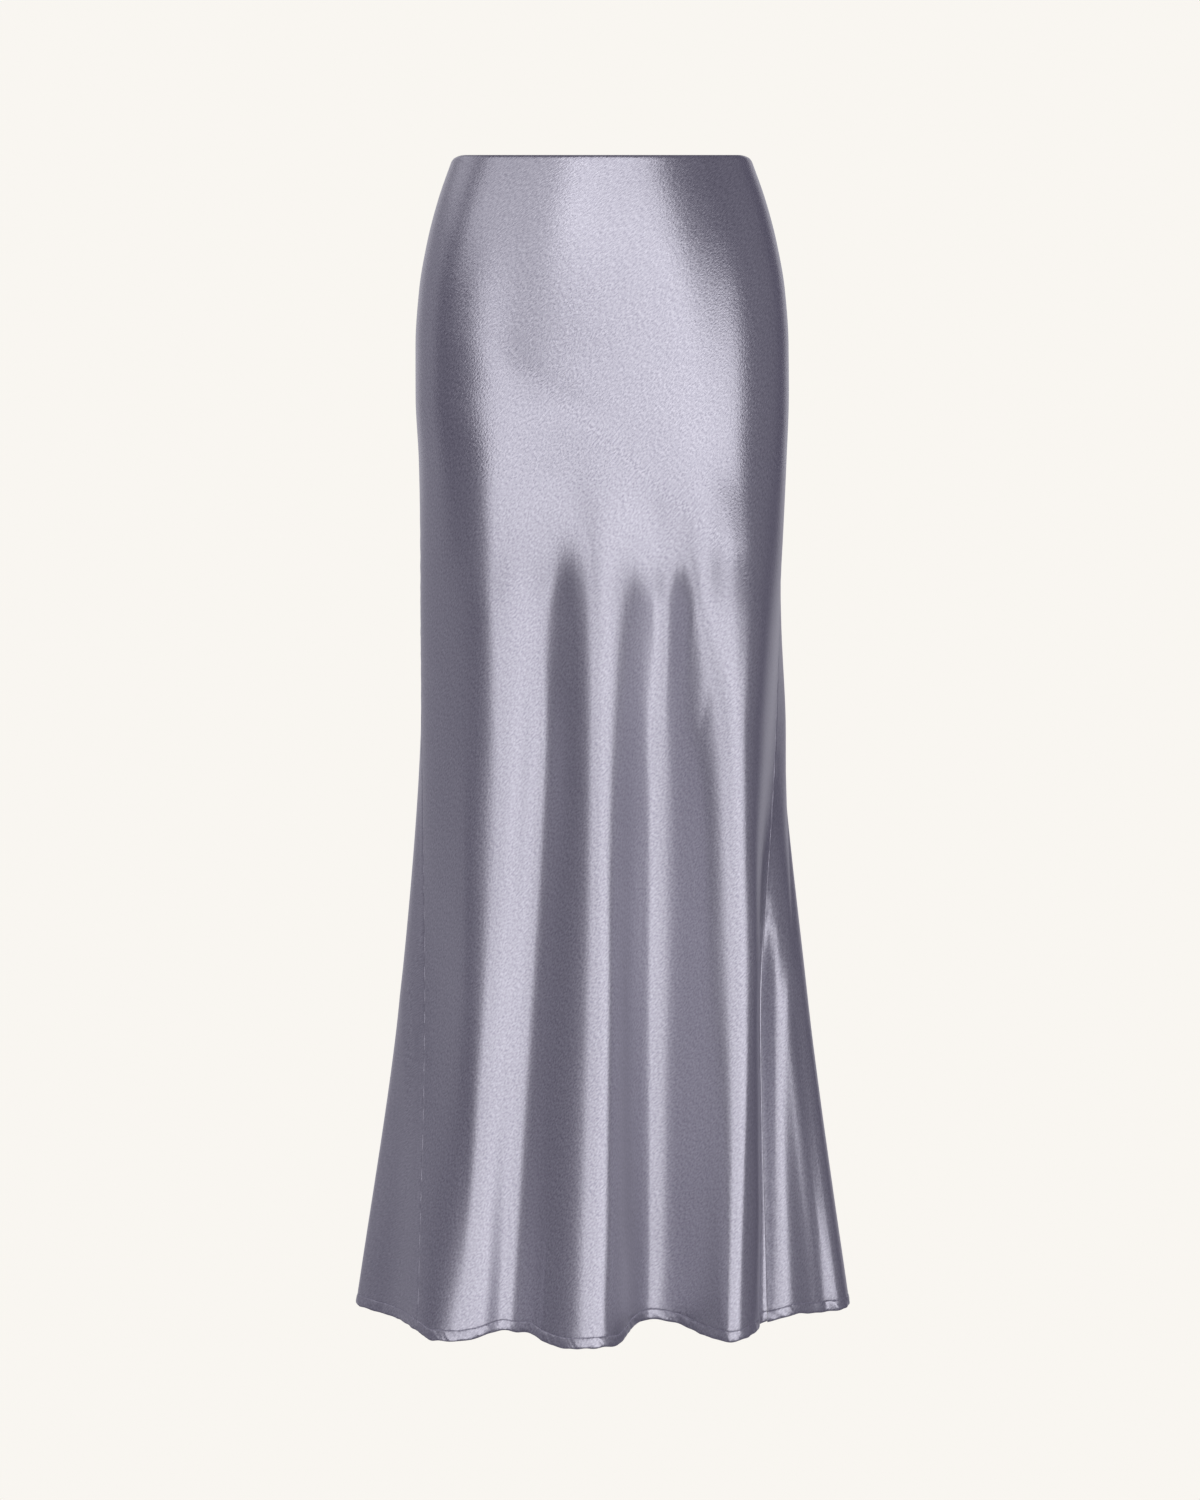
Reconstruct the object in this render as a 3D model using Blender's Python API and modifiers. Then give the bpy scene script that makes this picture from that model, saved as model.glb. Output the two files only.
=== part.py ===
"""Mermaid fishtail skirt: a bias-cut satin maxi skirt, held open as it is worn.

The cloth is two panels, a front and a back, that meet in side seams. Both
come from one closed form: level sections of the skirt, each drawn through the
same named stations, which run down the cloth as ridge and valley lines. The
waist, hip and thigh sections are plain ovals. From the thigh down the stations
leave the oval, and the flutes of the fishtail hem grow out of it.

A concealed zip closes the side seam on +X. Its pull hangs on the slider's bail.

Metres, +Z up, front towards -Y. The origin is the middle of the waist opening.
"""

import math

import bmesh
import bpy
import numpy as np
from mathutils import Matrix, Vector

# ---------------------------------------------------------------- cloth sizes
WALL = 0.0015            # cloth wall
HEM_WALL = 0.0026        # wall through the twice turned hem
SEAM_GAP = 0.0003        # between the panels along a seam
HEM_BAND = 0.0092        # depth of the turned hem, up to its stitch line
HEM_PROUD = 0.0006       # how far the turned hem stands out of the panel
HEM_LIP = 0.0012         # the turned hem's rounded lower edge
RIM_DROP = 0.0045        # how much lower the top edge is at the sides and back
RIM_DROP_FROM = 66.0     # bearings, in degrees, between which it falls
RIM_DROP_TO = 98.0
BACK_SQUARE = 2.2        # squareness of the back, see BODY

# The plain oval of the cloth over waist, hips and thighs. The squareness is the
# power of the curve in front, 2 for an ellipse, on the -X and the +X side.
# (height, half width, depth of front, depth of back, square_left, square_right)
BODY = (
    (0.000, 0.1270, 0.0860, 0.0820, 2.00, 2.00),
    (-0.040, 0.1410, 0.0945, 0.0950, 2.05, 2.10),
    (-0.075, 0.1500, 0.1000, 0.1060, 2.10, 2.20),
    (-0.115, 0.1568, 0.1040, 0.1150, 2.15, 2.30),
    (-0.160, 0.1598, 0.1070, 0.1220, 2.20, 2.40),
    (-0.205, 0.1600, 0.1085, 0.1250, 2.20, 2.50),
    (-0.260, 0.1580, 0.1100, 0.1240, 1.94, 2.60),
    (-0.330, 0.1572, 0.1115, 0.1210, 1.80, 2.65),
    (-0.385, 0.1570, 0.1122, 0.1194, 1.82, 2.60),
    (-0.500, 0.1556, 0.1145, 0.1190, 2.00, 2.40),
)
THIGH_ROW = 7            # BODY row where the flutes start
ONSET_ROW = 8            # BODY row where they are part grown
KNEE_ROW = 9             # BODY row where the stations' knee places hold
START = 0.4              # how far they are made at the thigh, of those at the onset
CALF_HEIGHT = -0.730
HEM_HEIGHT = -0.9985

# Stations once round the skirt, from the seam on -X across the front.
# name, bearing at the waist and at the thigh in degrees from centre front,
# share of the knee's flute reached at the onset, then (x, y) at knee, calf and
# hem, and how far the hem hangs below HEM_HEIGHT there
STATIONS = (
    ("seam_left", -104, -97, 0.5, (-0.1555, 0.0020), (-0.1525, -0.0380), (-0.1575, -0.1060), 0.002),
    ("side_a", -62, -62, 0.5, (-0.1240, -0.0610), (-0.1205, -0.0885), (-0.1275, -0.1340), 0.005),
    ("ridge_a", -32, -32, 0.9, (-0.0730, -0.0975), (-0.0875, -0.1140), (-0.1000, -0.1350), 0.000),
    ("valley_ab", -17, -17, 1.0, (-0.0555, -0.0905), (-0.0710, -0.1080), (-0.0875, -0.1270), -0.003),
    ("flank_b", -9, -9, 0.9, (-0.0290, -0.1100), (-0.0395, -0.1285), (-0.0530, -0.1520), -0.001),
    ("ridge_b", 0, 0, 0.65, (0.0015, -0.1300), (0.0035, -0.1540), (-0.0010, -0.1850), 0.000),
    ("flank_t", 8, 3.5, 0.65, (0.0225, -0.1140), (0.0215, -0.1270), (0.0220, -0.1410), -0.003),
    ("valley_t", 16, 9, 0.92, (0.0420, -0.0950), (0.0425, -0.1030), (0.0415, -0.0995), -0.007),
    ("flank_c", 28, 26, 1.35, (0.0730, -0.1130), (0.0800, -0.1250), (0.0790, -0.1205), -0.003),
    ("ridge_c", 44, 43, 0.52, (0.1155, -0.1345), (0.1190, -0.1490), (0.1115, -0.1610), 0.000),
    ("side_c", 68, 68, 0.5, (0.1410, -0.0780), (0.1310, -0.1080), (0.1340, -0.1220), -0.003),
    ("seam_right", 104, 97, 0.5, (0.1505, -0.0140), (0.1370, -0.0730), (0.1425, -0.0770), -0.001),
    ("shoulder_d", 112, 105, 0.4, (0.1585, 0.0160), (0.1480, -0.0800), (0.1530, -0.0785), -0.005),
    ("dip_d", 118, 112, 0.4, (0.1603, 0.0380), (0.1605, -0.0770), (0.1880, -0.0510), -0.003),
    ("lip_d", 124, 120, 0.4, (0.1570, 0.0580), (0.1685, -0.0700), (0.2015, -0.0450), -0.003),
    ("ridge_d", 131, 129, 0.4, (0.1475, 0.0760), (0.1725, 0.0100), (0.2145, 0.0080), -0.003),
    ("valley_de", 140, 139, 0.4, (0.1240, 0.0850), (0.1600, 0.0660), (0.1860, 0.0660), 0.002),
    ("ridge_e", 150, 150, 0.5, (0.0990, 0.1060), (0.1330, 0.1130), (0.1660, 0.1420), 0.003),
    ("valley_ef", 161, 161, 0.5, (0.0620, 0.0990), (0.0860, 0.0960), (0.1120, 0.1120), -0.001),
    ("ridge_f", 172, 172, 0.5, (0.0280, 0.1230), (0.0480, 0.1450), (0.0620, 0.1780), 0.004),
    ("valley_fg", 184, 184, 0.5, (-0.0130, 0.1090), (0.0010, 0.1050), (0.0060, 0.1120), -0.002),
    ("ridge_g", 196, 196, 0.5, (-0.0520, 0.1220), (-0.0500, 0.1440), (-0.0580, 0.1830), 0.003),
    ("valley_gh", 208, 208, 0.5, (-0.0880, 0.0980), (-0.0960, 0.0950), (-0.1100, 0.1100), -0.001),
    ("ridge_h", 221, 221, 0.5, (-0.1240, 0.0920), (-0.1400, 0.1060), (-0.1620, 0.1420), 0.003),
    ("valley_hi", 233, 233, 0.5, (-0.1430, 0.0640), (-0.1630, 0.0610), (-0.1830, 0.0700), 0.002),
    ("ridge_i", 244, 248, 0.4, (-0.1562, 0.0350), (-0.1755, 0.0120), (-0.2145, 0.0060), 0.000),
    ("flare_left", 250, 256, 0.4, (-0.1568, 0.0180), (-0.1680, -0.0140), (-0.1800, -0.0540), 0.000),
)
FRONT_STATIONS = 11      # intervals of the front, from seam_left to seam_right

# ------------------------------------------------------------------ zip sizes
ZIP_SLOT = 0.0024        # the seam's opening at the slider
CLEAR = 0.0003           # between the cloth and what lies on it
TAPE_TOP = -0.0065
TAPE_END = -0.1950
TAPE_WIDTH = 0.0120      # of one tape, from the middle of the seam
TAPE_THICK = 0.0008
COIL_TOP = -0.0180       # the two tapes part above this, round the slider
COIL_END = -0.1920
COIL_WIDTH = 0.0042
COIL_THICK = 0.0016
TAPE_PART = 0.0040       # half the space between the parted tapes

SLIDER_HEIGHT = -0.0120  # height of the slider's middle
PLATE = (0.0044, 0.0080, 0.0010)         # outer plate: across, along, thick
NECK = (0.0012, 0.0056)                  # neck through the seam
SHELL = (0.0066, 0.0088, 0.0024)         # the slider's body inside the skirt
BAIL = (0.0012, 0.0044, 0.0008)          # bail: across, along, bar thickness
HINGE_OUT = 0.0020       # hinge axis outside the cloth
BAIL_ROOM = 0.00065      # clear height over the hinge axis
PULL_BAR = 0.00035       # half thickness of the pull
PULL_WINDOW = (0.0010, 0.0034)           # half width and length of its window
PULL_NECK = 0.0018       # half width beside the window
PULL_TAIL = 0.0025       # half width at the rounded tail
PULL_LENGTH = 0.0190
PULL_LEAN = 2.5          # degrees from parallel to the cloth, tail inwards

# --------------------------------------------------------------- mesh density
COLUMNS_FRONT = 5        # columns in each interval between stations
COLUMNS_BACK = 4
TOP_ROWS = (0.0, 0.0160, 0.0240)     # depths of the first rows; the zip's slot
#                                      closes between the last two
ROWS = 24                # rows from there down to the turned hem
TAIL_STEPS = 12


# ----------------------------------------------------------------- form maths
def smooth_step(value):
    """0 below 0, 1 above 1, with no kink at either end."""
    t = np.clip(value, 0.0, 1.0)
    return t * t * (3.0 - 2.0 * t)


def oval_point(half_width, front, back, square_left, square_right, bearing):
    """A point of a level oval."""
    side, ahead = math.sin(math.radians(bearing)), math.cos(math.radians(bearing))
    depth, square = (back, BACK_SQUARE)
    if ahead > 0:
        depth, square = (front, square_right if side > 0 else square_left)
    return (
        half_width * math.copysign(abs(side) ** (2 / square), side),
        -depth * math.copysign(abs(ahead) ** (2 / square), ahead),
    )


def level_sections():
    """Heights of the level sections from the waist down, and the stations on each."""
    heights, sections = [], []
    waist, thigh = BODY[0][0], BODY[THIGH_ROW][0]
    ovals = []
    for height, *sizes in BODY:
        down = min(1.0, (waist - height) / (waist - thigh))
        bearings = [s[1] + (s[2] - s[1]) * down for s in STATIONS]
        ovals.append(np.array([oval_point(*sizes, b) for b in bearings]))
    knee, calf, hem = (np.array([s[k] for s in STATIONS]) for k in (4, 5, 6))
    share = np.array([[s[3]] for s in STATIONS])
    for row, (height, *_) in enumerate(BODY[:KNEE_ROW]):
        heights.append(height)
        grown = {THIGH_ROW: START * share, ONSET_ROW: share}.get(row, 0.0)
        sections.append(ovals[row] + grown * (knee - ovals[KNEE_ROW]))
    heights += [BODY[KNEE_ROW][0], CALF_HEIGHT, HEM_HEIGHT]
    sections += [knee, calf, hem]
    return np.array(heights), np.array(sections)


def closed_spline(points, counts):
    """Points of the smooth closed curve through points, with counts[i] steps
    after point i. Its parameter is the chord length, so curvature is even."""
    n = len(points)
    after = np.roll(points, -1, axis=0)
    gap = np.linalg.norm(after - points, axis=1)
    before = np.roll(gap, 1)
    slope = (after - points) / gap[:, None]
    matrix = np.zeros((n, n))
    for i in range(n):
        matrix[i, i - 1] = before[i]
        matrix[i, i] = 2.0 * (before[i] + gap[i])
        matrix[i, (i + 1) % n] = gap[i]
    bend = np.linalg.solve(matrix, 6.0 * (slope - np.roll(slope, 1, axis=0)))
    made = []
    for i in range(n):
        t = (np.arange(counts[i]) / counts[i])[:, None]
        span = gap[i] ** 2 / 6.0
        made.append(
            (1 - t) * points[i] + t * after[i]
            + span * ((1 - t) ** 3 - (1 - t)) * bend[i]
            + span * (t**3 - t) * bend[(i + 1) % n]
        )
    return np.concatenate(made)


def level_slopes(heights, values):
    """Slopes that keep a curve through values from swinging past them."""
    step = np.diff(heights)[:, None, None]
    rise = np.diff(values, axis=0) / step
    slopes = np.zeros_like(values)
    one, two = 2 * step[1:] + step[:-1], step[1:] + 2 * step[:-1]
    same = rise[:-1] * rise[1:] > 0
    safe = np.where(same, rise[:-1] * rise[1:], 1.0)
    mean = (one + two) * safe / np.where(same, one * rise[1:] + two * rise[:-1], 1.0)
    slopes[1:-1] = np.where(same, mean, 0.0)
    slopes[0], slopes[-1] = rise[0], rise[-1]
    return slopes


class SkirtForm:
    """The outer surface of the cloth, as columns by height."""

    def __init__(self, counts):
        heights, sections = level_sections()
        self.heights = -heights
        self.values = np.array([closed_spline(s, counts) for s in sections])
        self.slopes = level_slopes(self.heights, self.values)
        hem = np.array([(*s[6], -s[7]) for s in STATIONS])
        self.hem = HEM_HEIGHT + closed_spline(hem, counts)[:, 2]
        self.first = np.concatenate([[0], np.cumsum(counts)])

    def plan(self, column, height):
        """(x, y) of a column at a height, both as arrays of one shape."""
        down = -np.asarray(height, float)
        column = np.asarray(column) % self.values.shape[1]
        last = len(self.heights) - 2
        k = np.clip(np.searchsorted(self.heights, down, "right") - 1, 0, last)
        span = self.heights[k + 1] - self.heights[k]
        t = ((down - self.heights[k]) / span)[..., None]
        span = span[..., None]
        a, b = self.values[k, column], self.values[k + 1, column]
        da, db = self.slopes[k, column], self.slopes[k + 1, column]
        return (
            (1 + 2 * t) * (1 - t) ** 2 * a + t * (1 - t) ** 2 * span * da
            + t**2 * (3 - 2 * t) * b + t**2 * (t - 1) * span * db
        )

    def top(self, column):
        """Height of the top edge: level in front, lower at the sides and back."""
        half_width, front, back = BODY[0][1:4]
        x, y = np.moveaxis(self.plan(column, np.zeros(len(column))), -1, 0)
        depth = np.where(y < 0, front, back)
        bearing = np.degrees(np.arctan2(np.abs(x) / half_width, -y / depth))
        return -RIM_DROP * smooth_step((bearing - RIM_DROP_FROM) / (RIM_DROP_TO - RIM_DROP_FROM))

    def normal(self, column, height):
        """Level directions out of the cloth and along it, at columns and heights."""
        along = self.plan(column + 1, height) - self.plan(column - 1, height)
        along /= np.linalg.norm(along, axis=-1, keepdims=True)
        return np.stack([along[..., 1], -along[..., 0]], axis=-1), along

    def row_heights(self, columns):
        """Heights of a panel's plain rows, from the top edge to the turned hem."""
        top, hem = self.top(columns), self.hem[columns % len(self.hem)]
        lower = np.linspace(top - TOP_ROWS[-1], hem + HEM_BAND + HEM_LIP, ROWS)
        return np.concatenate([[top - depth for depth in TOP_ROWS[:-1]], lower])

    def beside(self, column, offset, height):
        """The point of the panels' faces at a distance round from a column."""
        heights = self.row_heights(np.array([column]))[:, 0]
        k = min(max(int(np.searchsorted(-heights, -height)), 1), len(heights) - 1)
        near = np.arange(column - 8, column + 9)
        ends = []
        for level in (heights[k - 1], heights[k]):
            plan = self.plan(near, np.full(len(near), level))
            steps = np.linalg.norm(np.diff(plan, axis=0), axis=1)
            reach = np.concatenate([[0.0], np.cumsum(steps)])
            reach -= reach[8]
            ends.append([np.interp(offset, reach, plan[:, i]) for i in (0, 1)] + [level])
        share = (height - heights[k]) / (heights[k - 1] - heights[k])
        return Vector(ends[1]).lerp(Vector(ends[0]), float(share))

    def frame_beside(self, column, offset, height):
        """Point, and the directions across, up the cloth and out of it."""
        point = self.beside(column, offset, height)
        across = self.beside(column, offset + 0.001, height) - point
        up = self.beside(column, offset, height + 0.001) - point
        out = across.cross(up).normalized()
        across.normalize()
        return point, across, out.cross(across), out


# ------------------------------------------------------------- mesh functions
def material(name, colour, roughness, metallic):
    """A plain Principled material."""
    made = bpy.data.materials.new(name)
    made.use_nodes = True
    shader = made.node_tree.nodes["Principled BSDF"]
    shader.inputs["Base Color"].default_value = (*colour, 1.0)
    shader.inputs["Roughness"].default_value = roughness
    shader.inputs["Metallic"].default_value = metallic
    return made


def mesh_object(name, points, faces, finish, collection):
    """A named object from points and faces, shaded smooth."""
    mesh = bpy.data.meshes.new(name)
    mesh.from_pydata([tuple(map(float, p)) for p in points], [], faces)
    mesh.validate()
    mesh.materials.append(finish)
    made = bpy.data.objects.new(name, mesh)
    collection.objects.link(made)
    mesh.shade_smooth()
    return made


def grid_faces(rows, columns):
    """Quads of a sheet whose points run row by row, facing out of the skirt."""
    return [
        (r * columns + c, (r + 1) * columns + c, (r + 1) * columns + c + 1, r * columns + c + 1)
        for r in range(rows - 1)
        for c in range(columns - 1)
    ]


# ------------------------------------------------------------------ the cloth
def seam_half_gap(rows, zip_side):
    """Half the space between the panels at each row of a seam."""
    gap = np.full(rows, SEAM_GAP)
    if zip_side:
        gap[: len(TOP_ROWS) - 1] = ZIP_SLOT
    return gap / 2


def edge_lean(plan, along, edge, side):
    """How far the inner face would lean over the seam, where the cloth turns."""
    facet = side * (plan[:, edge + side] - plan[:, edge])
    facet /= np.linalg.norm(facet, axis=1, keepdims=True)
    out = np.stack([facet[:, 1], -facet[:, 0]], axis=1)
    return np.maximum(side * HEM_WALL * (out * along[:, edge]).sum(axis=1), 0.0)


def panel(name, form, first, last, zip_edges, finish, collection):
    """One cloth panel, from column first to column last of the form."""
    columns = np.arange(first, last + 1)
    plain = form.row_heights(columns)
    hem_edge = form.hem[columns % len(form.hem)]
    band = [hem_edge + rise for rise in (HEM_BAND, HEM_LIP, 0.0)]
    height = np.concatenate([plain, band])
    proud = np.array([0.0] * len(plain) + [HEM_PROUD, HEM_PROUD, HEM_PROUD / 3])
    wide = np.broadcast_to(columns, height.shape)
    plan = form.plan(wide, height)
    out, along = form.normal(wide, height)
    plan = plan + out * proud[:, None, None]
    for edge, side, is_zip in ((0, 1, zip_edges[0]), (-1, -1, zip_edges[1])):
        shift = seam_half_gap(len(height), is_zip) + edge_lean(plan, along, edge, side)
        plan[:, edge] += side * along[:, edge] * shift[:, None]
    points = np.concatenate([plan, height[..., None]], axis=-1).reshape(-1, 3)
    rows, count = height.shape
    made = mesh_object(name, points, grid_faces(rows, count), finish, collection)
    hem = made.vertex_groups.new(name="hem")
    hem.add(list(range(len(plain) * count, rows * count)), 1.0, "REPLACE")
    wall = made.modifiers.new("wall", "SOLIDIFY")
    wall.thickness = HEM_WALL
    wall.offset = -1.0
    wall.vertex_group = hem.name
    wall.thickness_vertex_group = WALL / HEM_WALL
    return made


# -------------------------------------------------------------------- the zip
def zip_tape(form, seam, finish, collection):
    """Both tapes inside the seam, joined by the closed coil, parted above it."""
    arm = [TAPE_PART, TAPE_PART + 0.004, TAPE_WIDTH]
    bead = [-COIL_WIDTH / 2, 0.0, COIL_WIDTH / 2]
    offsets = [-reach for reach in reversed(arm)] + bead + arm
    plain = form.row_heights(np.array([seam]))[:, 0]
    rows = [height for height in plain if COIL_END < height < COIL_TOP]
    heights = [TAPE_TOP, COIL_TOP + 0.001, COIL_TOP, *rows, COIL_END, TAPE_END]
    fork, end = 2, len(heights) - 1
    points, index, coil = [], {}, []
    for r, height in enumerate(heights):
        for c, offset in enumerate(offsets):
            in_bead = abs(offset) < TAPE_PART
            if r < fork and in_bead:
                continue
            if in_bead and r < end:
                coil.append(len(points))
            index[r, c] = len(points)
            point, _, _, out = form.frame_beside(seam, offset, height)
            points.append(point - out * (WALL + CLEAR))
    corners = ((0, 0), (1, 0), (1, 1), (0, 1))
    quads = [[(r + i, c + j) for i, j in corners] for r in range(end) for c in range(8)]
    faces = [[index[k] for k in quad] for quad in quads if all(k in index for k in quad)]
    made = mesh_object("zip_tape", points, faces, finish, collection)
    bead_group = made.vertex_groups.new(name="coil")
    bead_group.add(coil, 1.0, "REPLACE")
    wall = made.modifiers.new("wall", "SOLIDIFY")
    wall.thickness = TAPE_THICK + COIL_THICK
    wall.offset = -1.0
    wall.vertex_group = bead_group.name
    wall.thickness_vertex_group = TAPE_THICK / wall.thickness
    return made


def block(name, centre, size, bevel, frame, collection):
    """A box with bevelled edges, in a frame given as a matrix."""
    mesh = bpy.data.meshes.new(name)
    shape = bmesh.new()
    bmesh.ops.create_cube(shape, size=1.0)
    bmesh.ops.scale(shape, vec=size, verts=shape.verts)
    bmesh.ops.translate(shape, vec=centre, verts=shape.verts)
    shape.to_mesh(mesh)
    shape.free()
    made = bpy.data.objects.new(name, mesh)
    made.matrix_world = frame
    collection.objects.link(made)
    edge = made.modifiers.new("edge", "BEVEL")
    edge.width = bevel
    edge.segments = 2
    return made


def zip_slider(frame, finish, collection, blanks):
    """Outer plate with its bail, and the body inside, joined through the seam."""
    plate_out = CLEAR + PLATE[2]
    inside = -(WALL + CLEAR)
    bar = HINGE_OUT + BAIL_ROOM + BAIL[2] / 2
    leg = (BAIL[1] - BAIL[2]) / 2
    leg_top, leg_foot = bar, CLEAR + PLATE[2] / 2
    slider = block(
        "zip_slider", (0, 0, CLEAR + PLATE[2] / 2), PLATE, 0.0003, frame, collection
    )
    slider.data.materials.append(finish)
    neck_span = plate_out - inside
    shell_middle = inside - SHELL[2] / 2
    leg_size = (BAIL[0], BAIL[2], leg_top - leg_foot)
    leg_middle = (leg_top + leg_foot) / 2
    pieces = (
        ("neck", (0, 0, (plate_out + inside) / 2 - 0.0002), (*NECK, neck_span), 0.0002),
        ("shell", (0, 0, shell_middle), SHELL, 0.0005),
        ("leg_up", (0, leg, leg_middle), leg_size, 0.0001),
        ("leg_down", (0, -leg, leg_middle), leg_size, 0.0001),
        ("bar", (0, 0, bar), (BAIL[0], BAIL[1], BAIL[2]), 0.0002),
    )
    for name, centre, size, bevel in pieces:
        piece = block("slider_" + name, centre, size, bevel, frame, blanks)
        piece.hide_render = True
        piece.display_type = "WIRE"
        join = slider.modifiers.new(name, "BOOLEAN")
        join.operation = "UNION"
        join.solver = "EXACT"
        join.object = piece
    return slider


def closed_line(curve, points):
    """Adds a straight-sided closed line to a flat curve."""
    line = curve.splines.new("POLY")
    line.points.add(len(points) - 1)
    for point, (x, y) in zip(line.points, points):
        point.co = (x, y, 0.0, 1.0)
    line.use_cyclic_u = True


def zip_pull(frame, finish, collection):
    """The flat pull, whose top bar turns inside the slider's bail."""
    half, window = PULL_WINDOW
    start = PULL_BAR
    tail = PULL_LENGTH - PULL_TAIL
    turns = [math.pi * i / TAIL_STEPS for i in range(TAIL_STEPS + 1)]
    round_tail = [(PULL_TAIL * math.cos(t), -tail - PULL_TAIL * math.sin(t)) for t in turns]
    shoulders = window + 0.0014
    outline = [(-PULL_NECK, start), (-PULL_NECK, -window), (-half, -shoulders)]
    outline += [(-x, y) for x, y in round_tail]
    outline += [(half, -shoulders), (PULL_NECK, -window), (PULL_NECK, start)]
    curve = bpy.data.curves.new("zip_pull", "CURVE")
    curve.dimensions = "2D"
    curve.fill_mode = "BOTH"
    curve.extrude = PULL_BAR
    closed_line(curve, outline)
    closed_line(curve, [(-half, -start), (half, -start), (half, -window), (-half, -window)])
    curve.materials.append(finish)
    made = bpy.data.objects.new("zip_pull", curve)
    made.matrix_world = frame
    collection.objects.link(made)
    return made


def main():
    for old in list(bpy.data.objects):
        bpy.data.objects.remove(old)
    collection = bpy.data.collections.new("mermaid_fishtail_skirt")
    blanks = bpy.data.collections.new("zip_slider_blanks")
    for group in (collection, blanks):
        bpy.context.scene.collection.children.link(group)

    satin = material("lilac_grey_satin", (0.36, 0.34, 0.44), 0.35, 0.0)
    tape = material("zip_tape_polyester", (0.30, 0.29, 0.37), 0.80, 0.0)
    metal = material("painted_zinc", (0.33, 0.32, 0.40), 0.35, 0.3)

    counts = [
        COLUMNS_FRONT if i < FRONT_STATIONS else COLUMNS_BACK
        for i in range(len(STATIONS))
    ]
    form = SkirtForm(counts)
    seam_right = int(form.first[FRONT_STATIONS])
    seam_left = int(form.first[len(STATIONS)])
    panel("front_panel", form, 0, seam_right, (False, True), satin, collection)
    panel("back_panel", form, seam_right, seam_left, (True, False), satin, collection)

    zip_tape(form, seam_right, tape, collection)
    point, across, up, out = form.frame_beside(seam_right, 0.0, SLIDER_HEIGHT)
    axes = Matrix((across, up, out)).transposed().to_4x4()
    zip_slider(Matrix.Translation(point) @ axes, metal, collection, blanks)
    hinge = point + out * HINGE_OUT
    lean = Matrix.Rotation(math.radians(PULL_LEAN), 4, "X")
    zip_pull(Matrix.Translation(hinge) @ axes @ lean, metal, collection)


if __name__ == "__main__":
    main()
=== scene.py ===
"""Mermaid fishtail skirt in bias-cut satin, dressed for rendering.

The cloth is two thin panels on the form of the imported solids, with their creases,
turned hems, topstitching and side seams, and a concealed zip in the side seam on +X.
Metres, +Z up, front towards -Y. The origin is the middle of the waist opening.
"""

import logging
import math
from dataclasses import dataclass, field
from enum import Enum

import bpy
import numpy as np
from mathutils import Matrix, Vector


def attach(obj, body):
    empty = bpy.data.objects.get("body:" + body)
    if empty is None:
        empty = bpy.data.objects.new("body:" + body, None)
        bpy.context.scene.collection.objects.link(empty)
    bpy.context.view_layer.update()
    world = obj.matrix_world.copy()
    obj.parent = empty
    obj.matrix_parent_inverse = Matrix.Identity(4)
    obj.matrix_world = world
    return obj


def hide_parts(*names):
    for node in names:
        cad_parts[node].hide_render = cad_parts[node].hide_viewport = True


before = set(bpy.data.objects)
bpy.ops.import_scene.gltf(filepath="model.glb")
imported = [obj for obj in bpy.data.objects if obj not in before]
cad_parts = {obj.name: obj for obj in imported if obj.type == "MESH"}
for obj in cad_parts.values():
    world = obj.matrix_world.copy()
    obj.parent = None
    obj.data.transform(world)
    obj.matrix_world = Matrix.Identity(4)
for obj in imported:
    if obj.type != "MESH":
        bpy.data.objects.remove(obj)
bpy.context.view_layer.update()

logging.basicConfig(level=logging.INFO, format="%(message)s")
LOG = logging.getLogger("skirt")

BODY_NAME = "skirt"
PLACE = "cloth_place"            # mesh attribute: metres round the cloth, and up it
FRAME_HEIGHT_PX = 1500.0
NUDGE = 0.01                     # stations to each side over which the cloth's direction is measured
FINE_STEPS = 4000                # points that distances along the hem are measured over
EDGE_ROOM = 1.3                  # even places start this many times as far in as an edge's last place
STRIP_REACH = 1.5                # stations to each side of its line that a strip is read from
STRIP_STEPS = 150                # points to each side
STITCH_STEPS = 4                 # steps of a sewn line to a stitch

Colour = tuple[float, float, float]


# ------------------------------------------------------------------ the form of the cloth
@dataclass(frozen=True)
class Oval:
    """A level section of the cloth over waist, hips or thighs."""

    height: float
    half_width: float
    front: float                 # how far it stands out in front, and behind
    back: float
    square_left: float           # of the front: 2 for a plain oval, more for a squarer one
    square_right: float


@dataclass(frozen=True)
class Station:
    """A line that runs down the cloth, such as a flute's ridge or valley."""

    name: str
    waist_bearing: float         # degrees from centre front, towards +X
    thigh_bearing: float
    onset: float                 # share of the knee's fold that is there at the onset
    knee: tuple[float, float]    # x and y
    calf: tuple[float, float]
    hem: tuple[float, float]
    drop: float                  # how much lower than HEM_HEIGHT the hem is there


OVALS = tuple(
    Oval(*row)
    for row in (
        # height, half width, front, back, squareness on the left and on the right
        (0.000, 0.1270, 0.0860, 0.0820, 2.00, 2.00),
        (-0.040, 0.1410, 0.0945, 0.0950, 2.05, 2.10),
        (-0.075, 0.1500, 0.1000, 0.1060, 2.10, 2.20),
        (-0.115, 0.1568, 0.1040, 0.1150, 2.15, 2.30),
        (-0.160, 0.1598, 0.1070, 0.1220, 2.20, 2.40),
        (-0.205, 0.1600, 0.1085, 0.1250, 2.20, 2.50),
        (-0.260, 0.1580, 0.1100, 0.1240, 1.94, 2.60),
        (-0.330, 0.1572, 0.1115, 0.1210, 1.80, 2.65),
        (-0.385, 0.1570, 0.1122, 0.1194, 1.82, 2.60),
        (-0.500, 0.1556, 0.1145, 0.1190, 2.00, 2.40),
    )
)
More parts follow.
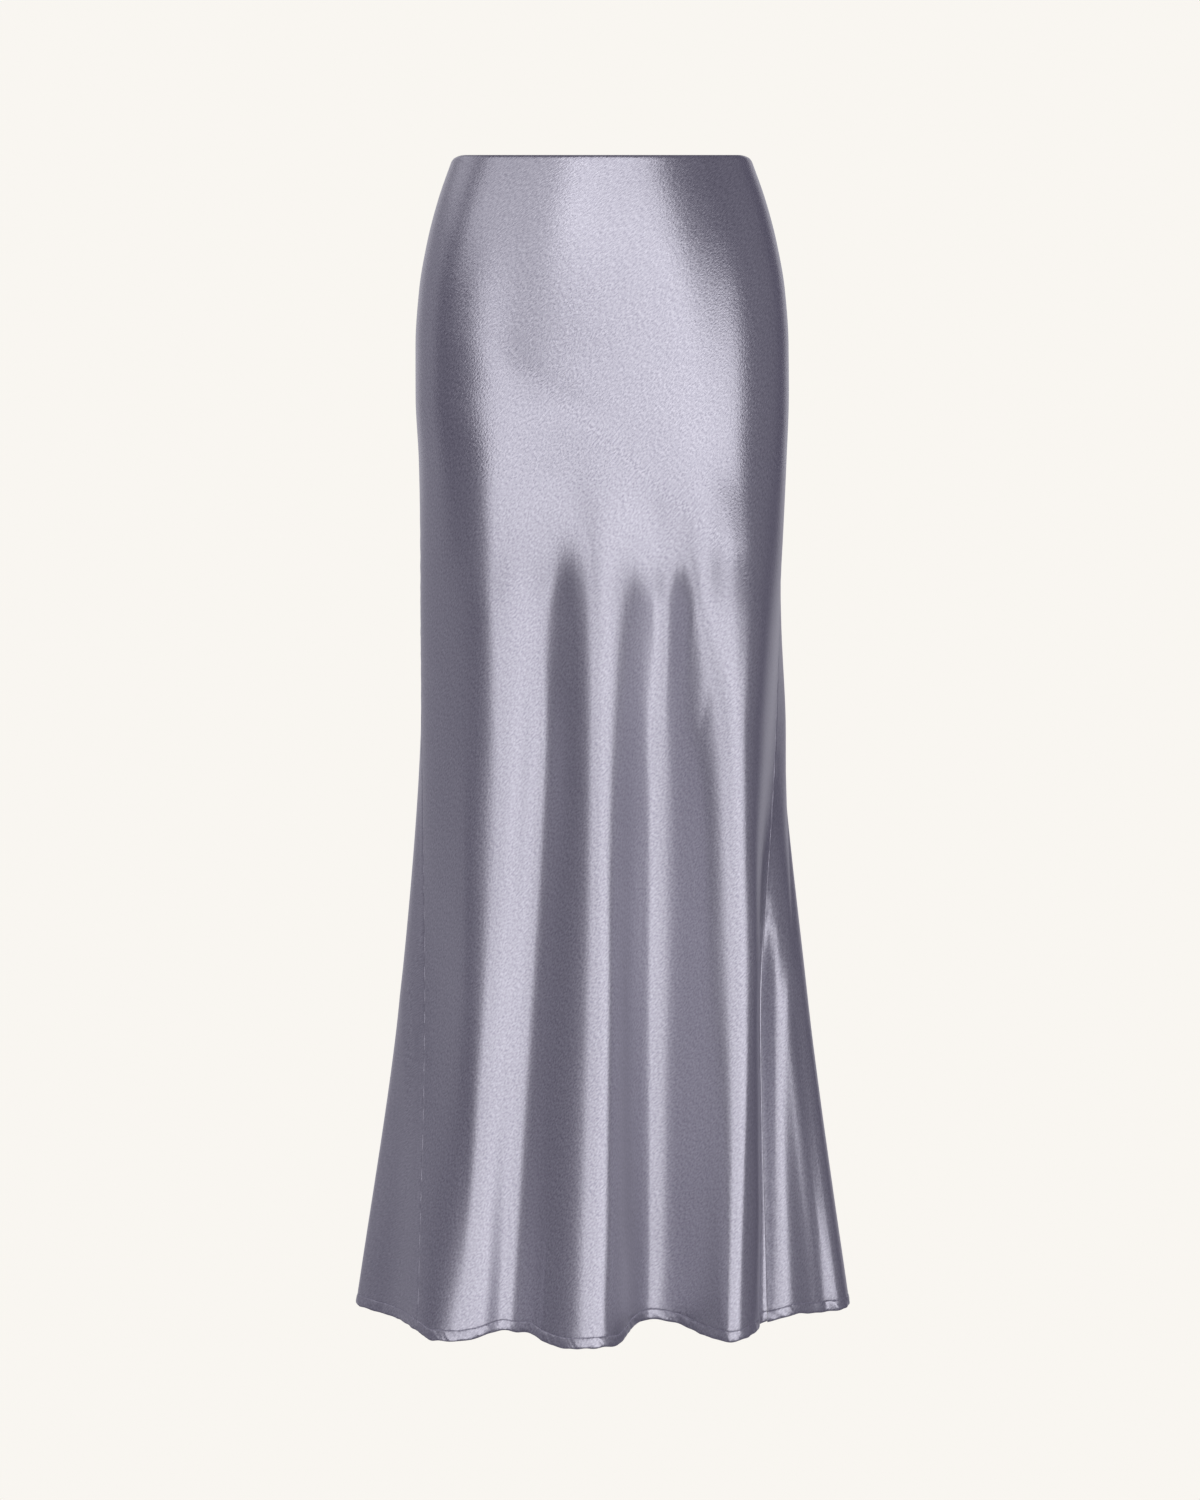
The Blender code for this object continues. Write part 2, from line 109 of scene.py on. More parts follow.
# Rows of OVALS: where the folds are faint, where each has its onset's share of its depth, and the plain
# oval at the knee, which the folds are measured from.
THIGH, ONSET, KNEE = 7, 8, 9
CALF_HEIGHT, HEM_HEIGHT = -0.730, -0.9985
BACK_SQUARE = 2.2

STATIONS = tuple(
    Station(*row)
    for row in (
        # name, bearings at waist and thigh, onset, places at knee, calf and hem, drop
        ("seam_left", -104, -97, 0.5, (-0.1555, 0.0020), (-0.1525, -0.0380), (-0.1575, -0.1060), 0.002),
        ("side_a", -62, -62, 0.5, (-0.1240, -0.0610), (-0.1205, -0.0885), (-0.1275, -0.1340), 0.005),
        ("ridge_a", -32, -32, 0.9, (-0.0730, -0.0975), (-0.0875, -0.1140), (-0.1000, -0.1350), 0.000),
        ("valley_ab", -17, -17, 1.0, (-0.0555, -0.0905), (-0.0710, -0.1080), (-0.0875, -0.1270), -0.003),
        ("flank_b", -9, -9, 0.9, (-0.0290, -0.1100), (-0.0395, -0.1285), (-0.0530, -0.1520), -0.001),
        ("ridge_b", 0, 0, 0.65, (0.0015, -0.1300), (0.0035, -0.1540), (-0.0010, -0.1850), 0.000),
        ("flank_t", 8, 3.5, 0.65, (0.0225, -0.1140), (0.0215, -0.1270), (0.0220, -0.1410), -0.003),
        ("valley_t", 16, 9, 0.92, (0.0420, -0.0950), (0.0425, -0.1030), (0.0415, -0.0995), -0.007),
        ("flank_c", 28, 26, 1.35, (0.0730, -0.1130), (0.0800, -0.1250), (0.0790, -0.1205), -0.003),
        ("ridge_c", 44, 43, 0.52, (0.1155, -0.1345), (0.1190, -0.1490), (0.1115, -0.1610), 0.000),
        ("side_c", 68, 68, 0.5, (0.1410, -0.0780), (0.1310, -0.1080), (0.1340, -0.1220), -0.003),
        ("seam_right", 104, 97, 0.5, (0.1505, -0.0140), (0.1370, -0.0730), (0.1425, -0.0770), -0.001),
        ("shoulder_d", 112, 105, 0.4, (0.1585, 0.0160), (0.1480, -0.0800), (0.1530, -0.0785), -0.005),
        ("dip_d", 118, 112, 0.4, (0.1603, 0.0380), (0.1605, -0.0770), (0.1880, -0.0510), -0.003),
        ("lip_d", 124, 120, 0.4, (0.1570, 0.0580), (0.1685, -0.0700), (0.2015, -0.0450), -0.003),
        ("ridge_d", 131, 129, 0.4, (0.1475, 0.0760), (0.1725, 0.0100), (0.2145, 0.0080), -0.003),
        ("valley_de", 140, 139, 0.4, (0.1240, 0.0850), (0.1600, 0.0660), (0.1860, 0.0660), 0.002),
        ("ridge_e", 150, 150, 0.5, (0.0990, 0.1060), (0.1330, 0.1130), (0.1660, 0.1420), 0.003),
        ("valley_ef", 161, 161, 0.5, (0.0620, 0.0990), (0.0860, 0.0960), (0.1120, 0.1120), -0.001),
        ("ridge_f", 172, 172, 0.5, (0.0280, 0.1230), (0.0480, 0.1450), (0.0620, 0.1780), 0.004),
        ("valley_fg", 184, 184, 0.5, (-0.0130, 0.1090), (0.0010, 0.1050), (0.0060, 0.1120), -0.002),
        ("ridge_g", 196, 196, 0.5, (-0.0520, 0.1220), (-0.0500, 0.1440), (-0.0580, 0.1830), 0.003),
        ("valley_gh", 208, 208, 0.5, (-0.0880, 0.0980), (-0.0960, 0.0950), (-0.1100, 0.1100), -0.001),
        ("ridge_h", 221, 221, 0.5, (-0.1240, 0.0920), (-0.1400, 0.1060), (-0.1620, 0.1420), 0.003),
        ("valley_hi", 233, 233, 0.5, (-0.1430, 0.0640), (-0.1630, 0.0610), (-0.1830, 0.0700), 0.002),
        ("ridge_i", 244, 248, 0.4, (-0.1562, 0.0350), (-0.1755, 0.0120), (-0.2145, 0.0060), 0.000),
        ("flare_left", 250, 256, 0.4, (-0.1568, 0.0180), (-0.1680, -0.0140), (-0.1800, -0.0540), 0.000),
    )
)
LINE = {station.name: float(i) for i, station in enumerate(STATIONS)}
LINE["seam_left_again"] = float(len(STATIONS))


def smooth_step(value: np.ndarray | float) -> np.ndarray:
    """0 below 0, 1 above 1, with no kink at either end."""
    t = np.clip(value, 0.0, 1.0)
    return t * t * (3.0 - 2.0 * t)


def oval_point(oval: Oval, bearing: float) -> tuple[float, float]:
    """The point of a level oval at a bearing.

    Args:
        oval: the section.
        bearing: degrees from centre front, towards +X.

    Returns:
        Its x and y.
    """
    side, ahead = math.sin(math.radians(bearing)), math.cos(math.radians(bearing))
    depth, square = oval.back, BACK_SQUARE
    if ahead > 0:
        depth = oval.front
        square = oval.square_right if side > 0 else oval.square_left
    x = oval.half_width * math.copysign(abs(side) ** (2 / square), side)
    return x, -depth * math.copysign(abs(ahead) ** (2 / square), ahead)


class ClosedSpline:
    """A smooth closed curve through points, with the chord length as its parameter."""

    def __init__(self, points: np.ndarray) -> None:
        """Solves the curve's bends.

        Args:
            points: the points in order, one a row.
        """
        count = len(points)
        self.points, self.after = points, np.roll(points, -1, axis=0)
        self.gap = np.linalg.norm(self.after - points, axis=1)
        before = np.roll(self.gap, 1)
        slope = (self.after - points) / self.gap[:, None]
        matrix = np.zeros((count, count))
        for i in range(count):
            matrix[i, i - 1] = before[i]
            matrix[i, i] = 2.0 * (before[i] + self.gap[i])
            matrix[i, (i + 1) % count] = self.gap[i]
        self.bend = np.linalg.solve(matrix, 6.0 * (slope - np.roll(slope, 1, axis=0)))

    def at(self, place: np.ndarray) -> np.ndarray:
        """Points of the curve.

        Args:
            place: the number of a point, and the share of the way to the next.

        Returns:
            One point a row.
        """
        whole = np.floor(place).astype(int)
        t = (place - whole)[:, None]
        i = whole % len(self.points)
        span = (self.gap[i] ** 2 / 6.0)[:, None]
        bend_after = self.bend[(i + 1) % len(self.points)]
        return (
            (1 - t) * self.points[i] + t * self.after[i]
            + span * ((1 - t) ** 3 - (1 - t)) * self.bend[i]
            + span * (t**3 - t) * bend_after
        )


@dataclass
class Columns:
    """Lines down the cloth at chosen places round it."""

    depths: np.ndarray           # the sections' depths
    values: np.ndarray           # x and y, sections by lines
    slopes: np.ndarray           # the same to a metre down
    top: np.ndarray              # each line's height at the top edge
    hem: np.ndarray              # and at the hem

    def plan(self, height: np.ndarray) -> np.ndarray:
        """Where each line is at given heights.

        Args:
            height: rows of heights, one column a line.

        Returns:
            x and y in the last axis.
        """
        down = -height
        line = np.broadcast_to(np.arange(self.values.shape[1]), height.shape)
        k = np.clip(np.searchsorted(self.depths, down, "right") - 1, 0, len(self.depths) - 2)
        span = self.depths[k + 1] - self.depths[k]
        t = ((down - self.depths[k]) / span)[..., None]
        span = span[..., None]
        a, b = self.values[k, line], self.values[k + 1, line]
        da, db = self.slopes[k, line], self.slopes[k + 1, line]
        return (
            (1 + 2 * t) * (1 - t) ** 2 * a + t * (1 - t) ** 2 * span * da
            + t**2 * (3 - 2 * t) * b + t**2 * (t - 1) * span * db
        )


@dataclass
class SkirtForm:
    """The outer face of the cloth: level sections through the stations, joined down the cloth."""

    rim_drop: float = 0.0045     # how much lower the top edge is at the sides and back
    rim_from: float = 66.0       # bearings from centre front between which it falls
    rim_to: float = 98.0
    start: float = 0.4           # how far the folds are made at the thigh, of those at the onset
    depths: np.ndarray = field(init=False)
    sections: list[ClosedSpline] = field(init=False)
    hem_line: ClosedSpline = field(init=False)

    def __post_init__(self) -> None:
        """Draws the level sections."""
        knee, calf, hem = (np.array([getattr(s, k) for s in STATIONS]) for k in ("knee", "calf", "hem"))
        share = np.array([[s.onset] for s in STATIONS])
        ovals = []
        for oval in OVALS:
            down = min(1.0, oval.height / OVALS[THIGH].height)
            ovals.append(np.array([
                oval_point(oval, s.waist_bearing + (s.thigh_bearing - s.waist_bearing) * down)
                for s in STATIONS
            ]))
        sections = list(ovals[:KNEE])
        sections[THIGH] = ovals[THIGH] + self.start * share * (knee - ovals[KNEE])
        sections[ONSET] = ovals[ONSET] + share * (knee - ovals[KNEE])
        sections += [knee, calf, hem]
        heights = [oval.height for oval in OVALS] + [CALF_HEIGHT, HEM_HEIGHT]
        self.depths = -np.array(heights)
        self.sections = [ClosedSpline(section) for section in sections]
        self.hem_line = ClosedSpline(np.array([(*s.hem, -s.drop) for s in STATIONS]))

    def slopes(self, values: np.ndarray) -> np.ndarray:
        """Slopes down the cloth that keep a line from swinging past its sections' points.

        Args:
            values: sections by lines by x and y.

        Returns:
            The slopes, in the same shape.
        """
        step = np.diff(self.depths)[:, None, None]
        rise = np.diff(values, axis=0) / step
        made = np.zeros_like(values)
        one, two = 2 * step[1:] + step[:-1], step[1:] + 2 * step[:-1]
        same = rise[:-1] * rise[1:] > 0
        safe = np.where(same, rise[:-1] * rise[1:], 1.0)
        mean = (one + two) * safe / np.where(same, one * rise[1:] + two * rise[:-1], 1.0)
        made[1:-1] = np.where(same, mean, 0.0)
        made[0], made[-1] = rise[0], rise[-1]
        return made

    def columns(self, place: np.ndarray) -> Columns:
        """Lines down the cloth.

        Args:
            place: station numbers with fractions, in order round the skirt.

        Returns:
            The lines.
        """
        values = np.array([section.at(place) for section in self.sections])
        waist = OVALS[0]
        x, y = values[0, :, 0], values[0, :, 1]
        depth = np.where(y < 0, waist.front, waist.back)
        bearing = np.degrees(np.arctan2(np.abs(x) / waist.half_width, -y / depth))
        top = -self.rim_drop * smooth_step((bearing - self.rim_from) / (self.rim_to - self.rim_from))
        hem = HEM_HEIGHT + self.hem_line.at(place)[:, 2]
        return Columns(self.depths, values, self.slopes(values), top, hem)


@dataclass
class ClothPatch:
    """A grid of points on the outer face of the cloth, row by row."""

    points: np.ndarray
    out: np.ndarray              # level directions out of the cloth
    along: np.ndarray            # level directions along it, towards later stations
    place: np.ndarray            # station numbers
    round: np.ndarray            # metres round, from the first column or from the strip's line

    def moved(self, distance: np.ndarray) -> np.ndarray:
        """The points moved out of the cloth by distances."""
        return self.points + self.out * distance[..., None]


def cloth_patch(form: SkirtForm, place: np.ndarray, height: np.ndarray) -> ClothPatch:
    """Reads a grid of points off the form.

    Args:
        form: the skirt's form.
        place: station numbers, one a column.
        height: heights, rows by columns.

    Returns:
        The grid, with the level directions out of the cloth and along it, and the metres round.
    """
    plan = form.columns(place).plan(height)
    along = form.columns(place + NUDGE).plan(height) - form.columns(place - NUDGE).plan(height)
    along /= np.linalg.norm(along, axis=-1, keepdims=True)
    flat = np.zeros(height.shape)
    out = np.stack([along[..., 1], -along[..., 0], flat], axis=-1)
    points = np.concatenate([plan, height[..., None]], axis=-1)
    steps = np.linalg.norm(np.diff(plan, axis=1), axis=-1)
    reach = np.concatenate([np.zeros((len(height), 1)), np.cumsum(steps, axis=1)], axis=1)
    wide = np.broadcast_to(place, height.shape)
    return ClothPatch(points, out, np.concatenate([along, flat[..., None]], axis=-1), wide, reach)


def hem_reach(form: SkirtForm, first: float, last: float) -> tuple[np.ndarray, np.ndarray]:
    """Distances along the hem.

    Args:
        form: the skirt's form.
        first: the station number to measure from.
        last: the station number to measure to.

    Returns:
        Close places between the two, and the metres from the first to each.
    """
    fine = np.linspace(first, last, FINE_STEPS)
    steps = np.linalg.norm(np.diff(form.hem_line.at(fine), axis=0), axis=1)
    return fine, np.concatenate([[0.0], np.cumsum(steps)])


def even_places(form: SkirtForm, first: float, last: float, count: int,
                edges: tuple[float, ...] = ()) -> np.ndarray:
    """Places that are evenly spaced along the hem, closer at both ends.

    Args:
        form: the skirt's form.
        first: the station number of the first place.
        last: that of the last place.
        count: how many even places.
        edges: distances from each end, in metres, of more places there.

    Returns:
        The places.
    """
    fine, reach = hem_reach(form, first, last)
    length = reach[-1]
    even = np.linspace(0.0, length, count)
    if edges:
        room = edges[-1] * EDGE_ROOM
        even = even[(even > room) & (even < length - room)]
        even = np.concatenate([edges, even, length - np.array(edges[::-1])])
    return np.interp(even, reach, fine)


def read_rows(values: np.ndarray, reach: np.ndarray, offset: np.ndarray) -> np.ndarray:
    """Reads values at chosen distances along rows of points.

    Args:
        values: rows by points by values.
        reach: each point's distance along its row.
        offset: the distances to read at, rows by columns.

    Returns:
        Rows by columns by values.
    """
    return np.array([
        np.stack([np.interp(o, r, v[:, k]) for k in range(v.shape[1])], axis=-1)
        for o, r, v in zip(offset, reach, values)
    ])


def strip_patch(form: SkirtForm, place: float, offset: np.ndarray, height: np.ndarray) -> ClothPatch:
    """Reads a narrow strip of points beside a line that runs down the cloth.

    Args:
        form: the skirt's form.
        place: the line's station number.
        offset: metres round from the line, rows by columns, positive towards later stations.
        height: heights, one a row.

    Returns:
        The grid, with the metres round from the line.
    """
    near = np.linspace(place - STRIP_REACH, place + STRIP_REACH, 2 * STRIP_STEPS + 1)
    wide = cloth_patch(form, near, np.repeat(height[:, None], len(near), axis=1))
    reach = wide.round - wide.round[:, STRIP_STEPS, None]
    points, out, along, places = (
        read_rows(values, reach, offset)
        for values in (wide.points, wide.out, wide.along, wide.place[..., None])
    )
    return ClothPatch(points, out, along, places[..., 0], offset)


def uneven_wave(distance: np.ndarray, length: float, seed: float) -> np.ndarray:
    """A wave of uneven length and height, the same each time.

    Args:
        distance: metres along it.
        length: its mean length in metres.
        seed: any number, for a wave of its own.

    Returns:
        Values between about -1 and 1.
    """
    # Three slow waves, none of which keeps time with the first, shift its crests and its height.
    turn = 2 * math.pi * distance / length
    slow = np.sin(turn * 0.231 + seed * 1.7) + np.sin(turn * 0.137 - seed * 2.3)
    swell = 0.62 + 0.30 * np.sin(turn * 0.171 + seed * 3.1)
    return swell * np.sin(turn + 0.9 * slow + seed)


# ------------------------------------------------------------------------------ meshes
def new_object(name: str, points: np.ndarray, faces: list[tuple[int, ...]],
               finishes: list[bpy.types.Material], indices: list[int] | None = None) -> bpy.types.Object:
    """A smooth-shaded object from points and faces.

    Args:
        name: the piece's name.
        points: one a row.
        faces: tuples of point numbers.
        finishes: its materials.
        indices: the material's number of each face, all 0 if left out.

    Returns:
        The object, linked to the scene.
    """
    mesh = bpy.data.meshes.new(name)
    mesh.from_pydata(points.tolist(), [], faces)
    for finish in finishes:
        mesh.materials.append(finish)
    if indices is not None:
        mesh.polygons.foreach_set("material_index", indices)
    mesh.shade_smooth()
    made = bpy.data.objects.new(name, mesh)
    bpy.context.scene.collection.objects.link(made)
    return made


def mark_place(piece: bpy.types.Object, place: np.ndarray) -> None:
    """Stores each point's place on the cloth, for its weave.

    Args:
        piece: the piece.
        place: metres round and up, one point a row.
    """
    attribute = piece.data.attributes.new(PLACE, "FLOAT_VECTOR", "POINT")
    full = np.zeros((len(place), 3), np.float32)
    full[:, : place.shape[1]] = place
    attribute.data.foreach_set("vector", full.ravel())


def sewn_in(piece: bpy.types.Object) -> bpy.types.Object:
    """Makes a piece ride with the skirt.

    Args:
        piece: the piece.

    Returns:
        The piece.
    """
    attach(piece, BODY_NAME)
    return piece


def grid_quads(rows: int, columns: int, start: int = 0, inward: bool = False) -> list[tuple[int, ...]]:
    """Quads of a grid whose points run row by row.

    Args:
        rows: rows of points, from the top down.
        columns: points in a row.
        start: the number of the first point.
        inward: True for faces that look into the skirt.

    Returns:
        The quads.
    """
    r, c = np.meshgrid(np.arange(rows - 1), np.arange(columns - 1), indexing="ij")
    a = start + r * columns + c
    quads = np.stack([a, a + columns, a + columns + 1, a + 1], axis=-1).reshape(-1, 4)
    if inward:
        quads = quads[:, ::-1]
    return [tuple(quad) for quad in quads.tolist()]


def shell(name: str, outer: np.ndarray, inner: np.ndarray, place: np.ndarray, face: bpy.types.Material,
          back: bpy.types.Material) -> bpy.types.Object:
    """A closed thin shell between two grids of points.

    Args:
        name: the piece's name.
        outer: the outer grid's points, rows by columns.
        inner: the inner grid's points.
        place: each point's place on the cloth.
        face: the outer face's material, also on the edges.
        back: the inner face's material.

    Returns:
        The object.
    """
    rows, columns = outer.shape[:2]
    count = rows * columns
    faces = grid_quads(rows, columns) + grid_quads(rows, columns, count, True)
    indices = np.repeat([0, 1], len(faces) // 2).tolist()
    rim = list(range(columns))
    rim += [r * columns + columns - 1 for r in range(1, rows)]
    rim += [(rows - 1) * columns + c for c in range(columns - 2, -1, -1)]
    rim += [r * columns for r in range(rows - 2, 0, -1)]
    edge = [(a, b, b + count, a + count) for a, b in zip(rim, rim[1:] + rim[:1])]
    faces += edge
    indices += [0] * len(edge)
    points = np.concatenate([outer.reshape(-1, 3), inner.reshape(-1, 3)])
    made = new_object(name, points, faces, [face, back], indices)
    mark_place(made, np.tile(place.reshape(-1, place.shape[-1]), (2, 1)))
    return made


def tube(name: str, rings: np.ndarray, place: np.ndarray, finish: bpy.types.Material) -> bpy.types.Object:
    """A closed tube through rings of points, with flat ends.

    Args:
        name: the piece's name.
        rings: points of each ring, rings by points by 3, running clockwise seen from behind.
        place: each point's place on the cloth.
        finish: its material.

    Returns:
        The object.
    """
    count, around = rings.shape[:2]
    ring, corner = np.meshgrid(np.arange(count - 1), np.arange(around), indexing="ij")
    a, b = ring * around + corner, ring * around + (corner + 1) % around
    quads = np.stack([a, b, b + around, a + around], axis=-1).reshape(-1, 4)
    faces = [tuple(quad) for quad in quads.tolist()]
    faces.append(tuple(range(around))[::-1])
    faces.append(tuple(range((count - 1) * around, count * around)))
    made = new_object(name, rings.reshape(-1, 3), faces, [finish])
    mark_place(made, place.reshape(-1, place.shape[-1]))
    return made


# --------------------------------------------------------------------- shader groups
class Effect(Enum):
    """The effects that several finishes share."""

    BIAS_WEAVE = "bias_weave"
    TONE_DRIFT = "tone_drift"


@dataclass(frozen=True)
class Grain:
    """The grains of a flat noise over the cloth."""

    across: float                # grains to a metre
    up: float
    lean: float = 0.0            # degrees by which a grain leans, before scaling
    detail: float = 1.0          # octaves


# The satin's floats of warp, its pebble and its sparkle, which is painted into the colour as glints, and the
# dye's broad and small drift.
FLOATS = Grain(300.0, 760.0, lean=45.0)
PEBBLE = Grain(560.0, 560.0)
SPARKLE = Grain(400.0, 760.0, lean=45.0)
BROAD_DRIFT = Grain(9.0, 6.0, lean=20.0)
SMALL_DRIFT = Grain(46.0, 30.0, lean=45.0, detail=2.0)
BROAD_SHARE = 0.65               # of the drift


class Wiring:
    """Short ways to add and join nodes of one node tree."""

    def __init__(self, tree: bpy.types.NodeTree) -> None:
        """Takes the tree."""
        self.tree = tree

    def node(self, kind: str, **settings: object) -> bpy.types.Node:
        """Adds a node.

        Args:
            kind: the node's type, without the prefix ShaderNode.
            settings: its properties.

        Returns:
            The node.
        """
        made = self.tree.nodes.new("ShaderNode" + kind)
        for name, value in settings.items():
            setattr(made, name, value)
        return made

    def join(self, source: bpy.types.NodeSocket, target: bpy.types.NodeSocket) -> None:
        """Links two sockets."""
        self.tree.links.new(source, target)

    def maths(self, operation: str, *values: bpy.types.NodeSocket | float) -> bpy.types.NodeSocket:
        """Adds a Math node.

        Args:
            operation: what it does.
            values: sockets or numbers for its inputs.

        Returns:
            Its output.
        """
        made = self.node("Math", operation=operation)
        for socket, value in zip(made.inputs, values):
            if isinstance(value, bpy.types.NodeSocket):
                self.join(value, socket)
            else:
                socket.default_value = value
        return made.outputs[0]

    def mix(self, share: bpy.types.NodeSocket, first: bpy.types.NodeSocket | Colour,
            second: Colour) -> bpy.types.NodeSocket:
        """Adds a Mix node for colours.

        Args:
            share: 0 for the first colour, 1 for the second.
            first: a socket or a colour.
            second: a colour.

        Returns:
            Its output.
        """
        made = self.node("Mix", data_type="RGBA")
        self.join(share, made.inputs["Factor"])
        if isinstance(first, bpy.types.NodeSocket):
            self.join(first, made.inputs["A"])
        else:
            made.inputs["A"].default_value = (*first, 1.0)
        made.inputs["B"].default_value = (*second, 1.0)
        return made.outputs["Result"]

    def noise(self, place: bpy.types.NodeSocket, grain: Grain) -> bpy.types.NodeSocket:
        """Adds a flat noise.

        Args:
            place: the place on the cloth in metres.
            grain: its grains.

        Returns:
            Its value, 0 to 1.
        """
        turned = self.node("VectorRotate", rotation_type="Z_AXIS")
        turned.inputs["Angle"].default_value = -math.radians(grain.lean)
        self.join(place, turned.inputs["Vector"])
        scaled = self.node("VectorMath", operation="MULTIPLY")
        self.join(turned.outputs[0], scaled.inputs[0])
        scaled.inputs[1].default_value = (grain.across, grain.up, 1.0)
        made = self.node("TexNoise", noise_dimensions="2D")
        made.inputs["Scale"].default_value = 1.0
        made.inputs["Detail"].default_value = grain.detail
        self.join(scaled.outputs[0], made.inputs["Vector"])
        return made.outputs["Fac"]


def new_group(effect: Effect, inputs: dict[str, float], outputs: tuple[str, ...]
              ) -> tuple[Wiring, bpy.types.Node, bpy.types.Node]:
    """A shader group with a vector input, Place, and other named sockets.

    Args:
        effect: which effect it makes.
        inputs: the first value of each number that it takes.
        outputs: the names of the numbers that it puts out.

    Returns:
        The group's wiring, its input node and its output node.
    """
    group = bpy.data.node_groups.new(effect.value, "ShaderNodeTree")
    group.interface.new_socket("Place", in_out="INPUT", socket_type="NodeSocketVector")
    for name, value in inputs.items():
        socket = group.interface.new_socket(name, in_out="INPUT", socket_type="NodeSocketFloat")
        socket.default_value = value
    for name in outputs:
        group.interface.new_socket(name, in_out="OUTPUT", socket_type="NodeSocketFloat")
    return Wiring(group), group.nodes.new("NodeGroupInput"), group.nodes.new("NodeGroupOutput")


def build_bias_weave() -> None:
    """Floats of warp that lean with the bias, crossed by a fine pebble, and a sparkle that the satin paints
    into its colour as glints.
    """
    wiring, start, end = new_group(Effect.BIAS_WEAVE, {"Floats": 0.6, "Pebble": 0.4}, ("Height", "Sparkle"))
    place = start.outputs["Place"]
    floats, pebble, sparkle = (wiring.noise(place, grain) for grain in (FLOATS, PEBBLE, SPARKLE))
    height = wiring.maths("MULTIPLY", floats, start.outputs["Floats"])
    height = wiring.maths("MULTIPLY_ADD", pebble, start.outputs["Pebble"], height)
    wiring.join(height, end.inputs["Height"])
    # Sparkle: the floats with a finer noise, painted into the satin's colour as glints, and also setting its
    # roughness
    mean = wiring.maths("MULTIPLY_ADD", sparkle, 0.5, wiring.maths("MULTIPLY", floats, 0.5))
    wiring.join(mean, end.inputs["Sparkle"])


def build_tone_drift() -> None:
    """Slow, faint drift of the dye and the press over a garment."""
    wiring, start, end = new_group(Effect.TONE_DRIFT, {"Amount": 0.5}, ("Tone",))
    broad, small = (wiring.noise(start.outputs["Place"], grain) for grain in (BROAD_DRIFT, SMALL_DRIFT))
    small = wiring.maths("MULTIPLY", small, 1.0 - BROAD_SHARE)
    both = wiring.maths("MULTIPLY_ADD", broad, BROAD_SHARE, small)
    tone = wiring.maths("MULTIPLY_ADD", wiring.maths("SUBTRACT", both, 0.5), start.outputs["Amount"], 0.5)
    wiring.join(tone, end.inputs["Tone"])


# -------------------------------------------------------------------------- finishes
@dataclass(frozen=True)
class Finish:
    """What every finish has: a name, a deep and a light colour, and its gloss."""

    name: str
    deep: Colour
    light: Colour
    roughness: float
    metallic: float = 0.0

    def start(self) -> tuple[bpy.types.Material, Wiring, bpy.types.Node, bpy.types.NodeSocket]:
        """A new material with its Principled shader.

        Returns:
            The material, its wiring, its shader and the place on the cloth.
        """
        made = bpy.data.materials.new(self.name)
        made.use_nodes = True
        wiring = Wiring(made.node_tree)
        shader = made.node_tree.nodes["Principled BSDF"]
        shader.inputs["Metallic"].default_value = self.metallic
        shader.inputs["Roughness"].default_value = self.roughness
        place = wiring.node("Attribute", attribute_name=PLACE, attribute_type="GEOMETRY")
        return made, wiring, shader, place.outputs["Vector"]

    def effect(self, wiring: Wiring, effect: Effect, place: bpy.types.NodeSocket,
               **values: float) -> bpy.types.Node:
        """Places a shared effect in a material.

        Args:
            wiring: the material's wiring.
            effect: which effect.
            place: the place on the cloth.
            values: its other inputs.

        Returns:
            The group's node.
        """
        made = wiring.node("Group", node_tree=bpy.data.node_groups[effect.value])
        wiring.join(place, made.inputs["Place"])
        for name, value in values.items():
            made.inputs[name].default_value = value
        return made

    def colour(self, wiring: Wiring, shader: bpy.types.Node, tone: bpy.types.NodeSocket) -> None:
        """Feeds the shader a mix of the colours, from the deep one at tone 0 to the light one at 1."""
        wiring.join(wiring.mix(tone, self.deep, self.light), shader.inputs["Base Color"])

    def bump(self, wiring: Wiring, shader: bpy.types.Node, height: bpy.types.NodeSocket,
             depth: float) -> None:
        """Feeds a relief to the shader.

        Args:
            wiring: the material's wiring.
            shader: the Principled shader.
            height: the relief, 0 to 1.
            depth: its depth in metres.
        """
        made = wiring.node("Bump")
        made.inputs["Strength"].default_value = 1.0
        made.inputs["Distance"].default_value = depth
        wiring.join(height, made.inputs["Height"])
        wiring.join(made.outputs["Normal"], shader.inputs["Normal"])


